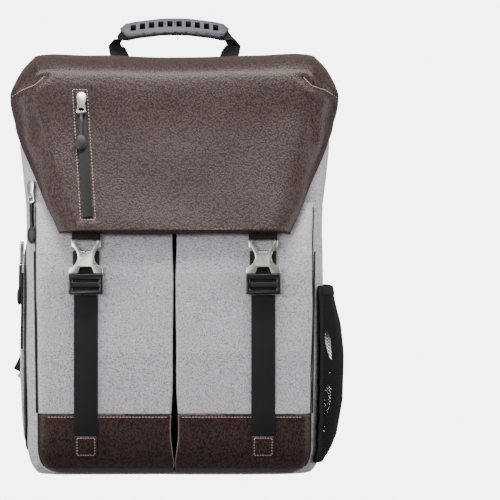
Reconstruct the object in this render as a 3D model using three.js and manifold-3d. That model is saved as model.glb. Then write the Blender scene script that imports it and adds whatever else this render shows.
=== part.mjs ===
// A camera backpack: a padded grey cloth bag with an open mouth, two cloth pockets with leather feet on its
// front, a leather flap buckled down over them, a mesh pocket, zipped doors in its side and back, and a
// harness.
// Millimetres, +Z up. The front faces -Y and the origin is the middle of the flat base, on the ground.

import * as THREE from "three";
import { mergeVertices } from "three/addons/utils/BufferGeometryUtils.js";
import Module from "manifold-3d";

const wasm = await Module();
wasm.setup();

// Driving sizes of the bag.
const BODY_HEIGHT = 425;
const BODY_WIDTH = 320;
const BODY_DEPTH = 150;
const BODY_WALL = 5;
const BODY_CORNER = 30;

// Driving sizes of the two front pockets.
const POCKET_HEIGHT = 290;
const POCKET_WIDTH = 290;
const POCKET_DEPTH = 30;
const POCKET_WALL = 2;
const POCKET_CORNER = 12;
const POCKET_LIFT = 3.5;
const SLIT_WIDTH = 8.5;
const SLIT_CORNER = 3;
const FOOT_HEIGHT = 68;
// How far forward the liner of the slit stands, as a share of the pocket's depth.
const LINER_SETBACK = 0.45;
const SIDE_ZIP_SETBACK = 12;
const SIDE_ZIP_SHARE = 0.82;

// Driving sizes of the flap.
const FLAP_WIDTH = 361;
const FLAP_THICKNESS = 7;
const FLAP_DROP = 168;
const FLAP_RISE = 25;
// The share of its thickness that the flap keeps at its edges and seam.
const FLAP_EDGE_THINNING = 0.55;

// Driving sizes of webbing, buckles and zips.
const STRAP_WIDTH = 25;
const STRAP_THICKNESS = 1.6;
const STRAP_SPACING = 186;
const STRAP_FOOT = 45;
const TAB_HEIGHT = 22;
const TAB_WIDE = 23;
const TAB_THICK = 2;
const LOOP_WIDTH = 30;
const LOOP_THICKNESS = 2.6;
const LOOP_HIDDEN = 12;
const BUCKLE_WIDTH = 37;
const BUCKLE_HEIGHT = 36;
const BUCKLE_THICKNESS = 4;
const BUCKLE_DROP = 7;
const LADDER_HEIGHT = 21;
const LADDER_INSET = 0.6;
const LADDER_FRAME = 3.2;
const TONGUE_THICKNESS = 2.2;
const TONGUE_ROOT = 2;
const ZIP_WIDTH = 10;
const ZIP_THICKNESS = 1.4;
const FLAP_ZIP_DROP = 14;
const FLAP_ZIP_LENGTH = 137;
const FLAP_ZIP_REACH = 102;
const FLAP_ZIP_SLANT = 11;

// Driving sizes of a zip slider's tab and of the rubber pull that hangs from it.
const TAB_LENGTH = 25;
const TAB_WIDTH = 11;
const TAB_THICKNESS = 2.4;
const TAB_CROWN = 1;
const PULL_DROP = 35;
const PULL_WIDTH = 13;
const PULL_HEIGHT = 19;
const PULL_THICKNESS = 5;
const CORD_WIDTH = 3.2;
const CORNER_SLIDER_TURN = 0.78;
const CORNER_SLIDER_RISE = 33;
const DOOR_SLIDER_SPREAD = 28;

// Driving sizes of the side and back pieces.
const NET_HEIGHT = 190;
const NET_LIFT = 12;
const NET_BULGE = 20;
const NET_WALL = 1.5;
const NET_BAND = 10;
// Where the net starts and ends, as shares of the bag's own front and back there.
const NET_FRONT = 0.9;
const NET_BACK = 0.86;
const SIDE_DOOR_HEIGHT = 205;
const SIDE_DOOR_LENGTH = 96;
const SIDE_DOOR_MIDDLE = 4;
const DOOR_THICKNESS = 6;
const BACK_DOOR_HEIGHT = 190;
const BACK_DOOR_WIDTH = 262;
const DOOR_LIFT = 32;
const DOOR_CORNER = 30;
const BACK_DOOR_CORNER = 48;
const PAD_THICKNESS = 15;
const PAD_GAP = 3;
const LUMBAR_LIFT = 22;
const BACK_BAND_HEIGHT = 26;
const BACK_BAND_DROP = 18;
const BACK_BAND_THICKNESS = 2.6;

// Driving sizes of the harness and handle.
const SHOULDER_WIDTH = 62;
const SHOULDER_THICKNESS = 12;
const SHOULDER_BOW = 60;
const HANDLE_WEB_WIDTH = 20;
const HANDLE_WEB_THICKNESS = 2.4;
const HANDLE_RISE = 65;
const HANDLE_SPREAD = 112;
const GRIP_WIDTH = 25;
const GRIP_THICKNESS = 5.5;
const GRIP_SLOTS = 10;
const SLOT_WIDTH = 6;
const SLOT_LENGTH = 10;
const ADJUSTER_WIDTH = 32;
const ADJUSTER_HEIGHT = 24;
const ADJUSTER_THICKNESS = 5;
const ADJUSTER_FRAME = 3;
const ADJUSTER_OUT = 6;
const ADJUSTER_IN = 5;
const ADJUSTER_DROP = 4;
const ANCHOR_REACH = 34;
const ANCHOR_TOP = 118;
const ANCHOR_HEIGHT = 42;
const ANCHOR_THICKNESS = 3;
const TAIL_LENGTH = 62;
const TAIL_LAP = 8;
const TAIL_SWAY = 4;

// Gaps kept between pieces that lie on or beside each other.
const GAP = 0.3;
const LAY_GAP = 0.5;

// Heights closer together than this share one ring, and lines drawn round a net, a door and a band.
const LEVEL_SPACING = 1.5;
const NET_STEPS = 10;
const DOOR_STEPS = 12;
const BAND_STEPS = 20;
const LINE_STEPS = 12;

// Outline of the bag from the ground up. Height is a share of BODY_HEIGHT, width of half of BODY_WIDTH,
// front and back of half of BODY_DEPTH.
const BODY_SECTIONS = [
  { height: 0.0, width: 0.925, front: 0.8, back: 0.9 },
  { height: 0.024, width: 0.975, front: 0.89, back: 0.97 },
  { height: 0.06, width: 0.99, front: 0.94, back: 1.0 },
  { height: 0.17, width: 1.0, front: 0.985, back: 1.0 },
  { height: 0.315, width: 1.006, front: 1.0, back: 1.0 },
  { height: 0.51, width: 1.0, front: 0.98, back: 1.0 },
  { height: 0.6, width: 0.995, front: 0.925, back: 1.0 },
  { height: 0.68, width: 1.003, front: 0.83, back: 0.995 },
  { height: 0.75, width: 1.03, front: 0.71, back: 0.985 },
  { height: 0.83, width: 1.056, front: 0.56, back: 0.96 },
  { height: 0.93, width: 1.04, front: 0.38, back: 0.92 },
  { height: 1.0, width: 1.0, front: 0.2, back: 0.86 },
];

// Outline of both pockets together. Height is a share of POCKET_HEIGHT, width of half of POCKET_WIDTH,
// depth of POCKET_DEPTH and slit of half of SLIT_WIDTH.
const POCKET_SECTIONS = [
  { height: 0.0, width: 0.885, depth: 0.5, slit: 0.1 },
  { height: 0.018, width: 0.945, depth: 0.72, slit: 0.1 },
  { height: 0.045, width: 0.978, depth: 0.88, slit: 0.12 },
  { height: 0.08, width: 0.992, depth: 0.96, slit: 0.45 },
  { height: 0.13, width: 0.994, depth: 1.0, slit: 0.9 },
  { height: 0.18, width: 0.994, depth: 1.0, slit: 1.0 },
  { height: 0.235, width: 0.994, depth: 1.0, slit: 0.8 },
  { height: 0.3, width: 0.997, depth: 1.0, slit: 0.5 },
  { height: 0.46, width: 1.0, depth: 1.0, slit: 0.35 },
  { height: 0.74, width: 1.01, depth: 0.93, slit: 0.32 },
  { height: 0.81, width: 1.013, depth: 0.87, slit: 0.34 },
  { height: 0.88, width: 1.017, depth: 0.72, slit: 0.36 },
  { height: 1.0, width: 1.02, depth: 0.38, slit: 0.38 },
];

// One row of numbers, read from a table by height, straight between the rows.
function rowAt(table, height) {
  const last = table[table.length - 1];
  if (height >= last.height) return { ...last };
  const upper = Math.max(1, table.findIndex((row) => row.height > height));
  const low = table[upper - 1];
  const high = table[upper];
  const share = Math.max(0, (height - low.height) / (high.height - low.height));
  const row = {};
  for (const column of Object.keys(low)) row[column] = THREE.MathUtils.lerp(low[column], high[column], share);
  return row;
}

function bodyAt(z) {
  const row = rowAt(BODY_SECTIONS, z / BODY_HEIGHT);
  return {
    half: (row.width * BODY_WIDTH) / 2,
    front: (-row.front * BODY_DEPTH) / 2,
    back: (row.back * BODY_DEPTH) / 2,
  };
}

// How far a rounded corner has fallen back from the flat, a distance past its start.
const cornerFall = (past, radius) =>
  past <= 0 ? 0 : radius - Math.sqrt(Math.max(0, radius ** 2 - past ** 2));

function bodyFrontY(x, z) {
  const body = bodyAt(z);
  return body.front + cornerFall(Math.abs(x) - (body.half - BODY_CORNER), BODY_CORNER);
}

function bodyBackY(x, z) {
  const body = bodyAt(z);
  return body.back - cornerFall(Math.abs(x) - (body.half - BODY_CORNER), BODY_CORNER);
}

function bodySideX(y, z) {
  const body = bodyAt(z);
  const past = Math.max(body.front + BODY_CORNER - y, y - (body.back - BODY_CORNER));
  return body.half - cornerFall(past, BODY_CORNER);
}

function pocketAt(z) {
  const row = rowAt(POCKET_SECTIONS, (z - POCKET_LIFT) / (POCKET_HEIGHT - POCKET_LIFT));
  return {
    half: (row.width * POCKET_WIDTH) / 2,
    face: bodyAt(z).front - GAP - row.depth * POCKET_DEPTH,
    slit: (row.slit * SLIT_WIDTH) / 2,
  };
}

// Every height between two levels at which the bag or the pockets change slope, with the two levels.
function levelsBetween(low, high, more = []) {
  const levels = [
    ...BODY_SECTIONS.map((row) => row.height * BODY_HEIGHT),
    ...POCKET_SECTIONS.map((row) => POCKET_LIFT + row.height * (POCKET_HEIGHT - POCKET_LIFT)),
    ...more,
  ];
  const isInside = (z) => z > low + LEVEL_SPACING && z < high - LEVEL_SPACING;
  const inside = levels.filter(isInside).sort((a, b) => a - b);
  return [low, ...inside.filter((z, i) => i === 0 || z - inside[i - 1] > LEVEL_SPACING), high];
}

// A geometry from loose numbers, turned so that its faces point out.
function facingOut(points, faces) {
  const [a, b, c] = [new THREE.Vector3(), new THREE.Vector3(), new THREE.Vector3()];
  let volume = 0;
  for (let i = 0; i < faces.length; i += 3) {
    a.copy(points[faces[i]]);
    b.copy(points[faces[i + 1]]);
    c.copy(points[faces[i + 2]]);
    volume += a.dot(b.cross(c));
  }
  const geometry = new THREE.BufferGeometry().setFromPoints(points);
  geometry.setIndex(volume < 0 ? [...faces].reverse() : faces);
  geometry.computeVertexNormals();
  return geometry;
}

// The triangles of a flat ring of points, whatever way it lies.
function capFaces(ring) {
  const normal = new THREE.Vector3();
  ring.forEach((p, i) => normal.add(new THREE.Vector3().crossVectors(p, ring[(i + 1) % ring.length])));
  normal.normalize();
  const across = new THREE.Vector3(1, 0, 0);
  if (Math.abs(normal.x) > 0.8) across.set(0, 1, 0);
  across.cross(normal).normalize();
  const up = new THREE.Vector3().crossVectors(normal, across);
  const flat = ring.map((p) => new THREE.Vector2(p.dot(across), p.dot(up)));
  return THREE.ShapeUtils.triangulateShape(flat, []);
}

// A closed body through rings that each hold the same number of points.
function loft(rings) {
  const count = rings[0].length;
  const faces = [];
  for (let r = 0; r + 1 < rings.length; r++) {
    for (let i = 0; i < count; i++) {
      const here = r * count + i;
      const next = r * count + ((i + 1) % count);
      faces.push(here, next, next + count, here, next + count, here + count);
    }
  }
  const last = (rings.length - 1) * count;
  for (const [a, b, c] of capFaces(rings[0])) faces.push(a, c, b);
  for (const [a, b, c] of capFaces(rings[rings.length - 1])) faces.push(last + a, last + b, last + c);
  return facingOut(rings.flat(), faces);
}

function mergedOf(geometry) {
  const bare = geometry.clone();
  for (const name of Object.keys(bare.attributes)) if (name !== "position") bare.deleteAttribute(name);
  return mergeVertices(bare, 1e-4);
}

function solidOf(geometry) {
  const merged = mergedOf(geometry);
  return new wasm.Manifold(
    new wasm.Mesh({
      numProp: 3,
      vertProperties: merged.attributes.position.array,
      triVerts: new Uint32Array(merged.index.array),
    }),
  );
}

function geometryOf(solid) {
  const mesh = solid.getMesh();
  const geometry = new THREE.BufferGeometry();
  geometry.setAttribute("position", new THREE.BufferAttribute(new Float32Array(mesh.vertProperties), 3));
  geometry.setIndex([...mesh.triVerts]);
  geometry.computeVertexNormals();
  return geometry;
}

const cut = (whole, ...tools) =>
  geometryOf(tools.reduce((solid, tool) => solid.subtract(solidOf(tool)), solidOf(whole)));
const join = (first, ...more) =>
  geometryOf(more.reduce((solid, piece) => solid.add(solidOf(piece)), solidOf(first)));
const keepInside = (whole, tool) => geometryOf(solidOf(whole).intersect(solidOf(tool)));

// A box between two corners.
function boxBetween(low, high) {
  const [a, b] = [new THREE.Vector3(...low), new THREE.Vector3(...high)];
  const size = b.clone().sub(a);
  const middle = a.clone().add(b).multiplyScalar(0.5);
  return new THREE.BoxGeometry(size.x, size.y, size.z).translate(middle.x, middle.y, middle.z);
}

// A level ring with round corners. Steps is the number of lines in each corner.
function roundedRing(left, right, front, back, radius, z, steps = 4) {
  const corners = [
    [right - radius, back - radius, 0],
    [left + radius, back - radius, 1],
    [left + radius, front + radius, 2],
    [right - radius, front + radius, 3],
  ];
  return corners.flatMap(([x, y, quarter]) =>
    Array.from({ length: steps + 1 }, (_, i) => {
      const angle = ((quarter + i / steps) * Math.PI) / 2;
      return new THREE.Vector3(x + radius * Math.cos(angle), y + radius * Math.sin(angle), z);
    }),
  );
}

// The padded bag, hollow and open at its mouth.
function mainBody() {
  const ringAt = (z, inset, level = z) => {
    const body = bodyAt(z);
    return roundedRing(
      -body.half + inset,
      body.half - inset,
      body.front + inset,
      body.back - inset,
      BODY_CORNER - inset,
      level,
    );
  };
  const levels = BODY_SECTIONS.map((row) => row.height * BODY_HEIGHT);
  const outside = loft(levels.map((z) => ringAt(z, 0)));
  const insideLevels = [BODY_WALL, ...levels.filter((z) => z > BODY_WALL + 1)];
  const hollow = [
    ...insideLevels.map((z) => ringAt(z, BODY_WALL)),
    ringAt(BODY_HEIGHT, BODY_WALL, BODY_HEIGHT + BODY_WALL),
  ];
  return cut(outside, loft(hollow));
}

// The right-hand pocket: a front face, a side wall, a wall at the slit and a floor, open above and behind.
function pocketShell() {
  const ringAt = (z, inset, back, level = z) => {
    const pocket = pocketAt(z);
    const [left, right, face] = [pocket.slit + inset, pocket.half - inset, pocket.face + inset];
    const rear = bodyAt(z).front - GAP + back;
    const corner = Math.max(1, Math.min(POCKET_CORNER, (rear - back - pocket.face) * 0.8) - inset);
    const slitCorner = Math.max(1, SLIT_CORNER - inset);
    const arc = (x, radius, from) =>
      [0, 1, 2, 3].map((i) => {
        const angle = from + (i / 3) * (Math.PI / 2);
        const [sideways, backwards] = [radius * Math.cos(angle), radius * Math.sin(angle)];
        return new THREE.Vector3(x + sideways, face + radius + backwards, level);
      });
    return [
      new THREE.Vector3(left, rear, level),
      ...arc(left + slitCorner, slitCorner, Math.PI),
      ...arc(right - corner, corner, 1.5 * Math.PI),
      new THREE.Vector3(right, rear, level),
    ];
  };
  const levels = levelsBetween(POCKET_LIFT, POCKET_HEIGHT);
  const whole = loft(levels.map((z) => ringAt(z, 0, 0)));
  const floor = POCKET_LIFT + POCKET_WALL;
  const behind = BODY_DEPTH / 4;
  const hollow = [
    ...levelsBetween(floor, POCKET_HEIGHT).map((z) => ringAt(z, POCKET_WALL, behind)),
    ringAt(POCKET_HEIGHT, POCKET_WALL, behind, POCKET_HEIGHT + POCKET_WALL),
  ];
  return cut(whole, loft(hollow));
}

const mirrored = (geometry) => {
  const copy = mergedOf(geometry).scale(-1, 1, 1);
  copy.setIndex([...copy.index.array].reverse());
  copy.computeVertexNormals();
  return copy;
};

const wide = BODY_WIDTH * 2;
const footBox = boxBetween([-wide, -wide, -1], [wide, wide, FOOT_HEIGHT - GAP / 2]);
const clothBox = boxBetween([-wide, -wide, FOOT_HEIGHT + GAP / 2], [wide, wide, wide]);

// Surfaces of the bag that flat pieces lie on: a place along one, a height and a distance out from it.
const rightSide = (y, z, out) => new THREE.Vector3(bodySideX(y, z) + out, y, z);
const leftSide = (y, z, out) => new THREE.Vector3(-bodySideX(y, z) - out, y, z);
const backFace = (x, z, out) => new THREE.Vector3(x, bodyBackY(x, z) + out, z);

const roundness = (share) => 1 - (2 * share - 1) ** 4;

// Shares from 0 to 1, closer together at both ends, where the bag's corners turn.
const shares = (steps) =>
  Array.from({ length: steps + 1 }, (_, i) => 0.5 - 0.5 * Math.cos((Math.PI * i) / steps));

// How far out a panel's outside stands, a share of the way along it and at a height.
const panelOut = ({ low, high, inner, edge, rise }, u, z) =>
  inner + edge + (rise - edge) * roundness((z - low) / (high - low)) * roundness(u);

// A panel that lies on a surface of the bag. Its outline runs from low to high and from one side to the other,
// with round corners, and its outside swells from edge to rise in the middle.
function panel(outline) {
  const { surface, low, high, from, to, radius, inner, steps = 8 } = outline;
  const fromAt = typeof from === "function" ? from : () => from;
  const toAt = typeof to === "function" ? to : () => to;
  const cornerLevels = [0.02, 0.2, 0.6].flatMap((share) => [low + radius * share, high - radius * share]);
  const rings = levelsBetween(low, high, cornerLevels).map((z) => {
    const reach = Math.max(0, radius - Math.min(z - low, high - z));
    const drawn = radius > 0 ? cornerFall(reach, radius) : 0;
    const [start, end] = [fromAt(z) + drawn, toAt(z) - drawn];
    const places = shares(steps);
    const outside = places.map((u) => surface(start + (end - start) * u, z, panelOut(outline, u, z)));
    const inside = places.map((u) => surface(start + (end - start) * u, z, inner)).reverse();
    return [...outside, ...inside];
  });
  return loft(rings);
}

// The mesh pocket on the right side, open above, and the elastic band round its mouth.
const netFrom = (z) => bodyAt(z).front * NET_FRONT + GAP;
const netTo = (z) => bodyAt(z).back * NET_BACK;
const NET_SECTIONS = [
  { height: 0.0, bulge: 0.0 },
  { height: 0.06, bulge: 0.3 },
  { height: 0.16, bulge: 0.7 },
  { height: 0.35, bulge: 0.97 },
  { height: 0.6, bulge: 1.0 },
  { height: 0.78, bulge: 0.84 },
  { height: 0.9, bulge: 0.55 },
  { height: 1.0, bulge: 0.35 },
];
const netBulge = (z, u) => {
  const row = rowAt(NET_SECTIONS, (z - NET_LIFT) / NET_HEIGHT);
  return NET_BULGE * row.bulge * roundness(u) ** 0.75;
};
const netTop = NET_LIFT + NET_HEIGHT;
const bandFoot = netTop - NET_BAND;
const netLevels = (low, high) =>
  levelsBetween(low, high, [bandFoot, ...NET_SECTIONS.map((row) => NET_LIFT + row.height * NET_HEIGHT)]);

// How much shorter the net's hollow is at each end, as a share of its length.
const NET_SHRINK = 0.04;
function netRing(z, innerOut, outerOut, shrink, level = z) {
  const [start, end] = [netFrom(z), netTo(z)];
  const places = shares(NET_STEPS).map((share) => shrink + (1 - 2 * shrink) * share);
  const at = (u, out) => rightSide(start + (end - start) * u, z, out).setZ(level);
  return [...places.map((u) => at(u, outerOut(u))), ...places.map((u) => at(u, innerOut)).reverse()];
}

function netPocket() {
  const outside = netLevels(NET_LIFT, netTop).map((z) =>
    netRing(z, LAY_GAP, (u) => LAY_GAP + NET_WALL + netBulge(z, u), 0),
  );
  const hollow = (z, level) => netRing(z, -BODY_WALL, (u) => LAY_GAP + netBulge(z, u), NET_SHRINK, level);
  const inside = netLevels(NET_LIFT + 2 * NET_WALL, netTop).map((z) => hollow(z, z));
  inside.push(hollow(netTop, netTop + NET_WALL));
  return cut(loft(outside), loft(inside));
}

function netBand() {
  const ring = (z, innerMore, outerMore) => {
    const [start, end] = [netFrom(z), netTo(z)];
    const places = shares(NET_STEPS);
    const net = (u) => LAY_GAP + NET_WALL + netBulge(z, u);
    const at = (u, out) => rightSide(start + (end - start) * u, z, out);
    return [
      ...places.map((u) => at(u, net(u) + outerMore)),
      ...places.map((u) => at(u, net(u) + innerMore)).reverse(),
    ];
  };
  return loft(netLevels(bandFoot, netTop).map((z) => ring(z, 2 * GAP, 2 * GAP + NET_WALL)));
}

// The zipped door in the left side, and the zip that runs round it.
const sideDoor = {
  surface: leftSide,
  low: DOOR_LIFT,
  high: DOOR_LIFT + SIDE_DOOR_HEIGHT,
  from: SIDE_DOOR_MIDDLE - SIDE_DOOR_LENGTH / 2,
  to: SIDE_DOOR_MIDDLE + SIDE_DOOR_LENGTH / 2,
  radius: DOOR_CORNER,
  inner: LAY_GAP,
  edge: DOOR_THICKNESS / 2,
  rise: DOOR_THICKNESS,
  steps: DOOR_STEPS,
};

// The zipped door in the back.
const backDoor = {
  surface: backFace,
  low: DOOR_LIFT,
  high: DOOR_LIFT + BACK_DOOR_HEIGHT,
  from: -BACK_DOOR_WIDTH / 2,
  to: BACK_DOOR_WIDTH / 2,
  radius: BACK_DOOR_CORNER,
  inner: LAY_GAP,
  edge: DOOR_THICKNESS / 2,
  rise: DOOR_THICKNESS,
  steps: DOOR_STEPS,
};

const grown = (outline, by) => ({
  ...outline,
  low: outline.low - by,
  high: outline.high + by,
  from: outline.from - by,
  to: outline.to + by,
  radius: outline.radius + by,
});

// A flat ring of zip tape round a door.
function zipRing(door) {
  const tape = panel({ ...grown(door, ZIP_WIDTH), edge: ZIP_THICKNESS, rise: ZIP_THICKNESS });
  const through = 3 * DOOR_THICKNESS;
  const hole = panel({ ...grown(door, GAP), inner: -DOOR_THICKNESS, edge: through, rise: through });
  return cut(tape, hole);
}

// Pads of black mesh on the back, wider towards the waist: the upper pair on the bag, the lower on its door.
const upperPadLow = backDoor.high + ZIP_WIDTH + PAD_GAP;
const bandHigh = BODY_HEIGHT - BACK_BAND_DROP;
const bandLow = bandHigh - BACK_BAND_HEIGHT;
const upperPadHigh = bandLow - PAD_GAP;
const padOuter = (z) => bodyAt(z).half - BODY_CORNER * 0.5;
// Inner edges of the pads, as shares of half of BODY_WIDTH.
const PAD_INNER_TOP = 0.52;
const PAD_INNER_FOOT = 0.36;
const LUMBAR_INNER = 0.24;
const padInner = (z) => {
  const share = (z - upperPadLow) / (upperPadHigh - upperPadLow);
  return (BODY_WIDTH / 2) * THREE.MathUtils.lerp(PAD_INNER_FOOT, PAD_INNER_TOP, share);
};

const backPad = () =>
  panel({
    surface: backFace,
    low: upperPadLow,
    high: upperPadHigh,
    from: padInner,
    to: padOuter,
    radius: PAD_GAP * 3,
    inner: LAY_GAP,
    edge: PAD_THICKNESS / 3,
    rise: PAD_THICKNESS,
  });

const doorOut = LAY_GAP + DOOR_THICKNESS + LAY_GAP;
const lumbarPad = () =>
  panel({
    surface: backFace,
    low: backDoor.low + LUMBAR_LIFT,
    high: backDoor.high - PAD_GAP * 4,
    from: (BODY_WIDTH / 2) * LUMBAR_INNER,
    to: BACK_DOOR_WIDTH / 2 - PAD_GAP * 4,
    radius: PAD_GAP * 6,
    inner: doorOut,
    edge: PAD_THICKNESS / 3,
    rise: PAD_THICKNESS,
  });

const backBand = () =>
  panel({
    surface: backFace,
    low: bandLow,
    high: bandHigh,
    from: (z) => -bodyAt(z).half + BODY_CORNER / 2,
    to: (z) => bodyAt(z).half - BODY_CORNER / 2,
    radius: 2,
    inner: LAY_GAP,
    edge: BACK_BAND_THICKNESS,
    rise: BACK_BAND_THICKNESS,
    steps: BAND_STEPS,
  });

// The leather flap, row by row from its seam behind the mouth, over the top and down the front.
// Each row gives the middle and four points out to the edge: x as a share of half of FLAP_WIDTH, then up as a
// share of FLAP_RISE above the mouth or of FLAP_DROP below it, then back as a share of half of BODY_DEPTH.
// The middle gives up and back alone.
const FLAP_ROWS = [
  {
    middle: [-0.07, 0.965], flat: [0.66, -0.07, 0.965],
    turn: [0.83, -0.08, 0.93], side: [0.9, -0.1, 0.87], edge: [0.93, -0.13, 0.78],
  },
  {
    middle: [0.2, 0.985], flat: [0.71, 0.2, 0.98],
    turn: [0.87, -0.01, 0.95], side: [0.94, -0.1, 0.88], edge: [0.95, -0.19, 0.8],
  },
  {
    middle: [0.72, 0.88], flat: [0.75, 0.72, 0.88],
    turn: [0.89, 0.36, 0.86], side: [0.97, -0.065, 0.8], edge: [0.98, -0.22, 0.72],
  },
  {
    middle: [1.0, 0.6], flat: [0.79, 1.0, 0.6],
    turn: [0.91, 0.6, 0.59], side: [0.98, -0.042, 0.56], edge: [0.99, -0.22, 0.53],
  },
  {
    middle: [0.96, 0.27], flat: [0.79, 0.96, 0.27],
    turn: [0.915, 0.52, 0.27], side: [0.985, -0.042, 0.27], edge: [1.0, -0.214, 0.27],
  },
  {
    middle: [0.72, -0.04], flat: [0.785, 0.72, -0.04],
    turn: [0.915, 0.32, -0.013], side: [0.985, -0.06, 0.03], edge: [1.0, -0.2, 0.08],
  },
  {
    middle: [0.38, -0.28], flat: [0.775, 0.36, -0.27],
    turn: [0.91, 0.02, -0.2], side: [0.985, -0.09, -0.1], edge: [1.0, -0.19, -0.04],
  },
  {
    middle: [-0.006, -0.41], flat: [0.765, -0.01, -0.405],
    turn: [0.905, -0.06, -0.34], side: [0.985, -0.137, -0.2], edge: [1.0, -0.22, -0.1],
  },
  {
    middle: [-0.125, -0.52], flat: [0.765, -0.13, -0.51],
    turn: [0.905, -0.167, -0.43], side: [0.975, -0.22, -0.28], edge: [0.992, -0.28, -0.17],
  },
  {
    middle: [-0.274, -0.645], flat: [0.75, -0.28, -0.635],
    turn: [0.875, -0.304, -0.55], side: [0.948, -0.34, -0.41], edge: [0.968, -0.375, -0.28],
  },
  {
    middle: [-0.488, -0.86], flat: [0.69, -0.488, -0.855],
    turn: [0.8, -0.5, -0.79], side: [0.866, -0.518, -0.68], edge: [0.89, -0.54, -0.56],
  },
  {
    middle: [-0.702, -1.1], flat: [0.61, -0.702, -1.097],
    turn: [0.71, -0.714, -1.075], side: [0.772, -0.726, -1.035], edge: [0.797, -0.744, -0.99],
  },
  {
    middle: [-0.905, -1.34], flat: [0.545, -0.905, -1.337],
    turn: [0.633, -0.91, -1.32], side: [0.688, -0.922, -1.28], edge: [0.713, -0.94, -1.24],
  },
  {
    middle: [-1.006, -1.46], flat: [0.51, -1.006, -1.457],
    turn: [0.6, -1.009, -1.44], side: [0.65, -1.015, -1.39], edge: [0.674, -1.024, -1.34],
  },
];
const flapHeight = (up) => BODY_HEIGHT + up * (up > 0 ? FLAP_RISE : FLAP_DROP);
const flapBack = (back) => (back * BODY_DEPTH) / 2;

// A closed sheet: a grid of points on its outside, moved inwards by a thickness for each column.
function thickSheet(grid, thicknessAt) {
  const [rows, columns] = [grid.length, grid[0].length];
  const clampedPoint = (i, j) =>
    grid[THREE.MathUtils.clamp(i, 0, rows - 1)][THREE.MathUtils.clamp(j, 0, columns - 1)];
  const inner = grid.map((row, i) =>
    row.map((point, j) => {
      const along = clampedPoint(i + 1, j).clone().sub(clampedPoint(i - 1, j));
      const across = clampedPoint(i, j + 1).clone().sub(clampedPoint(i, j - 1));
      const inwards = across.cross(along).normalize();
      return point.clone().addScaledVector(inwards, thicknessAt(i, j));
    }),
  );
  const points = [...grid.flat(), ...inner.flat()];
  const under = rows * columns;
  const faces = [];
  const quad = (a, b, c, d) => faces.push(a, b, c, a, c, d);
  for (let i = 0; i + 1 < rows; i++) {
    for (let j = 0; j + 1 < columns; j++) {
      const a = i * columns + j;
      quad(a, a + 1, a + columns + 1, a + columns);
      quad(under + a, under + a + columns, under + a + columns + 1, under + a + 1);
    }
  }
  for (let j = 0; j + 1 < columns; j++) {
    const end = (rows - 1) * columns + j;
    quad(j, under + j, under + j + 1, j + 1);
    quad(end, end + 1, under + end + 1, under + end);
  }
  for (let i = 0; i + 1 < rows; i++) {
    const a = i * columns;
    const b = a + columns - 1;
    quad(a, a + columns, under + a + columns, under + a);
    quad(b, under + b, under + b + columns, b + columns);
  }
  return facingOut(points, faces);
}

function flapGrid() {
  return FLAP_ROWS.map((row) => {
    const place = ([x, up, back]) => new THREE.Vector3((x * FLAP_WIDTH) / 2, flapBack(back), flapHeight(up));
    const { middle, flat, turn, side, edge } = row;
    const half = [[0, ...middle], flat, turn, side, edge].map(place);
    const leftHalf = half.slice(1).map((p) => new THREE.Vector3(-p.x, p.y, p.z)).reverse();
    const curve = new THREE.CatmullRomCurve3([...leftHalf, ...half], false, "centripetal");
    const count = 2 * (leftHalf.length + half.length - 1);
    return Array.from({ length: count + 1 }, (_, j) => curve.getPoint(j / count));
  });
}

// The rows of the flap that hang on its front, and the outside of the flap at a place and height there.
const FLAP_FRONT_ROW = 6;
const flapFront = flapGrid().slice(FLAP_FRONT_ROW);

function flapAt(x, z) {
  const across = flapFront.map((row) => {
    const right = Math.max(1, row.findIndex((p) => p.x > x));
    const [a, b] = [row[right - 1], row[right]];
    return a.clone().lerp(b, (x - a.x) / (b.x - a.x));
  });
  const below = THREE.MathUtils.clamp(across.findIndex((p) => p.z < z), 1, across.length - 1);
  const [high, low] = [across[below - 1], across[below]];
  const share = (high.z - z) / (high.z - low.z);
  const slope = (high.y - low.y) / (high.z - low.z);
  return { y: THREE.MathUtils.lerp(high.y, low.y, share), slope, levels: across.map((p) => p.z) };
}

function flap() {
  const grid = flapGrid();
  const middle = (grid[0].length - 1) / 2;
  return thickSheet(grid, (i, j) => {
    const out = Math.abs(j - middle) / middle;
    const seam = i === 0 ? FLAP_EDGE_THINNING : 1;
    const thinning = THREE.MathUtils.lerp(1, FLAP_EDGE_THINNING, Math.max(0, out - 0.5) * 2);
    return FLAP_THICKNESS * seam * thinning;
  });
}

// A flat band through stations, each with its place and the way its width runs.
// Section is a list of points: across the band and out from it, as shares of its width and thickness.
const FLAT_SECTION = [[-0.5, -0.5], [0.5, -0.5], [0.5, 0.5], [-0.5, 0.5]];
const PADDED_HALF = [[-0.5, -0.2], [-0.38, -0.45], [0, -0.5], [0.38, -0.45], [0.5, -0.2]];
const PADDED_SECTION = [...PADDED_HALF, ...PADDED_HALF.map(([u, v]) => [-u, -v])];

function framesOf(stations) {
  const places = stations.map((s) => new THREE.Vector3(s.x, s.y, s.z));
  return stations.map((station, i) => {
    const before = places[Math.max(0, i - 1)];
    const after = places[Math.min(places.length - 1, i + 1)];
    const along = after.clone().sub(before).normalize();
    const across = new THREE.Vector3(...(station.across ?? [1, 0, 0]));
    across.addScaledVector(along, -across.dot(along)).normalize();
    const out = along.clone().cross(across);
    return { place: places[i], across, out, wide: station.wide ?? 1, thick: station.thick ?? 1 };
  });
}

function bandThrough(frames, width, thickness, section) {
  const rings = frames.map(({ place, across, out, wide, thick }) =>
    section.map(([u, v]) =>
      place.clone().addScaledVector(across, u * width * wide).addScaledVector(out, v * thickness * thick),
    ),
  );
  return loft(rings);
}

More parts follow.
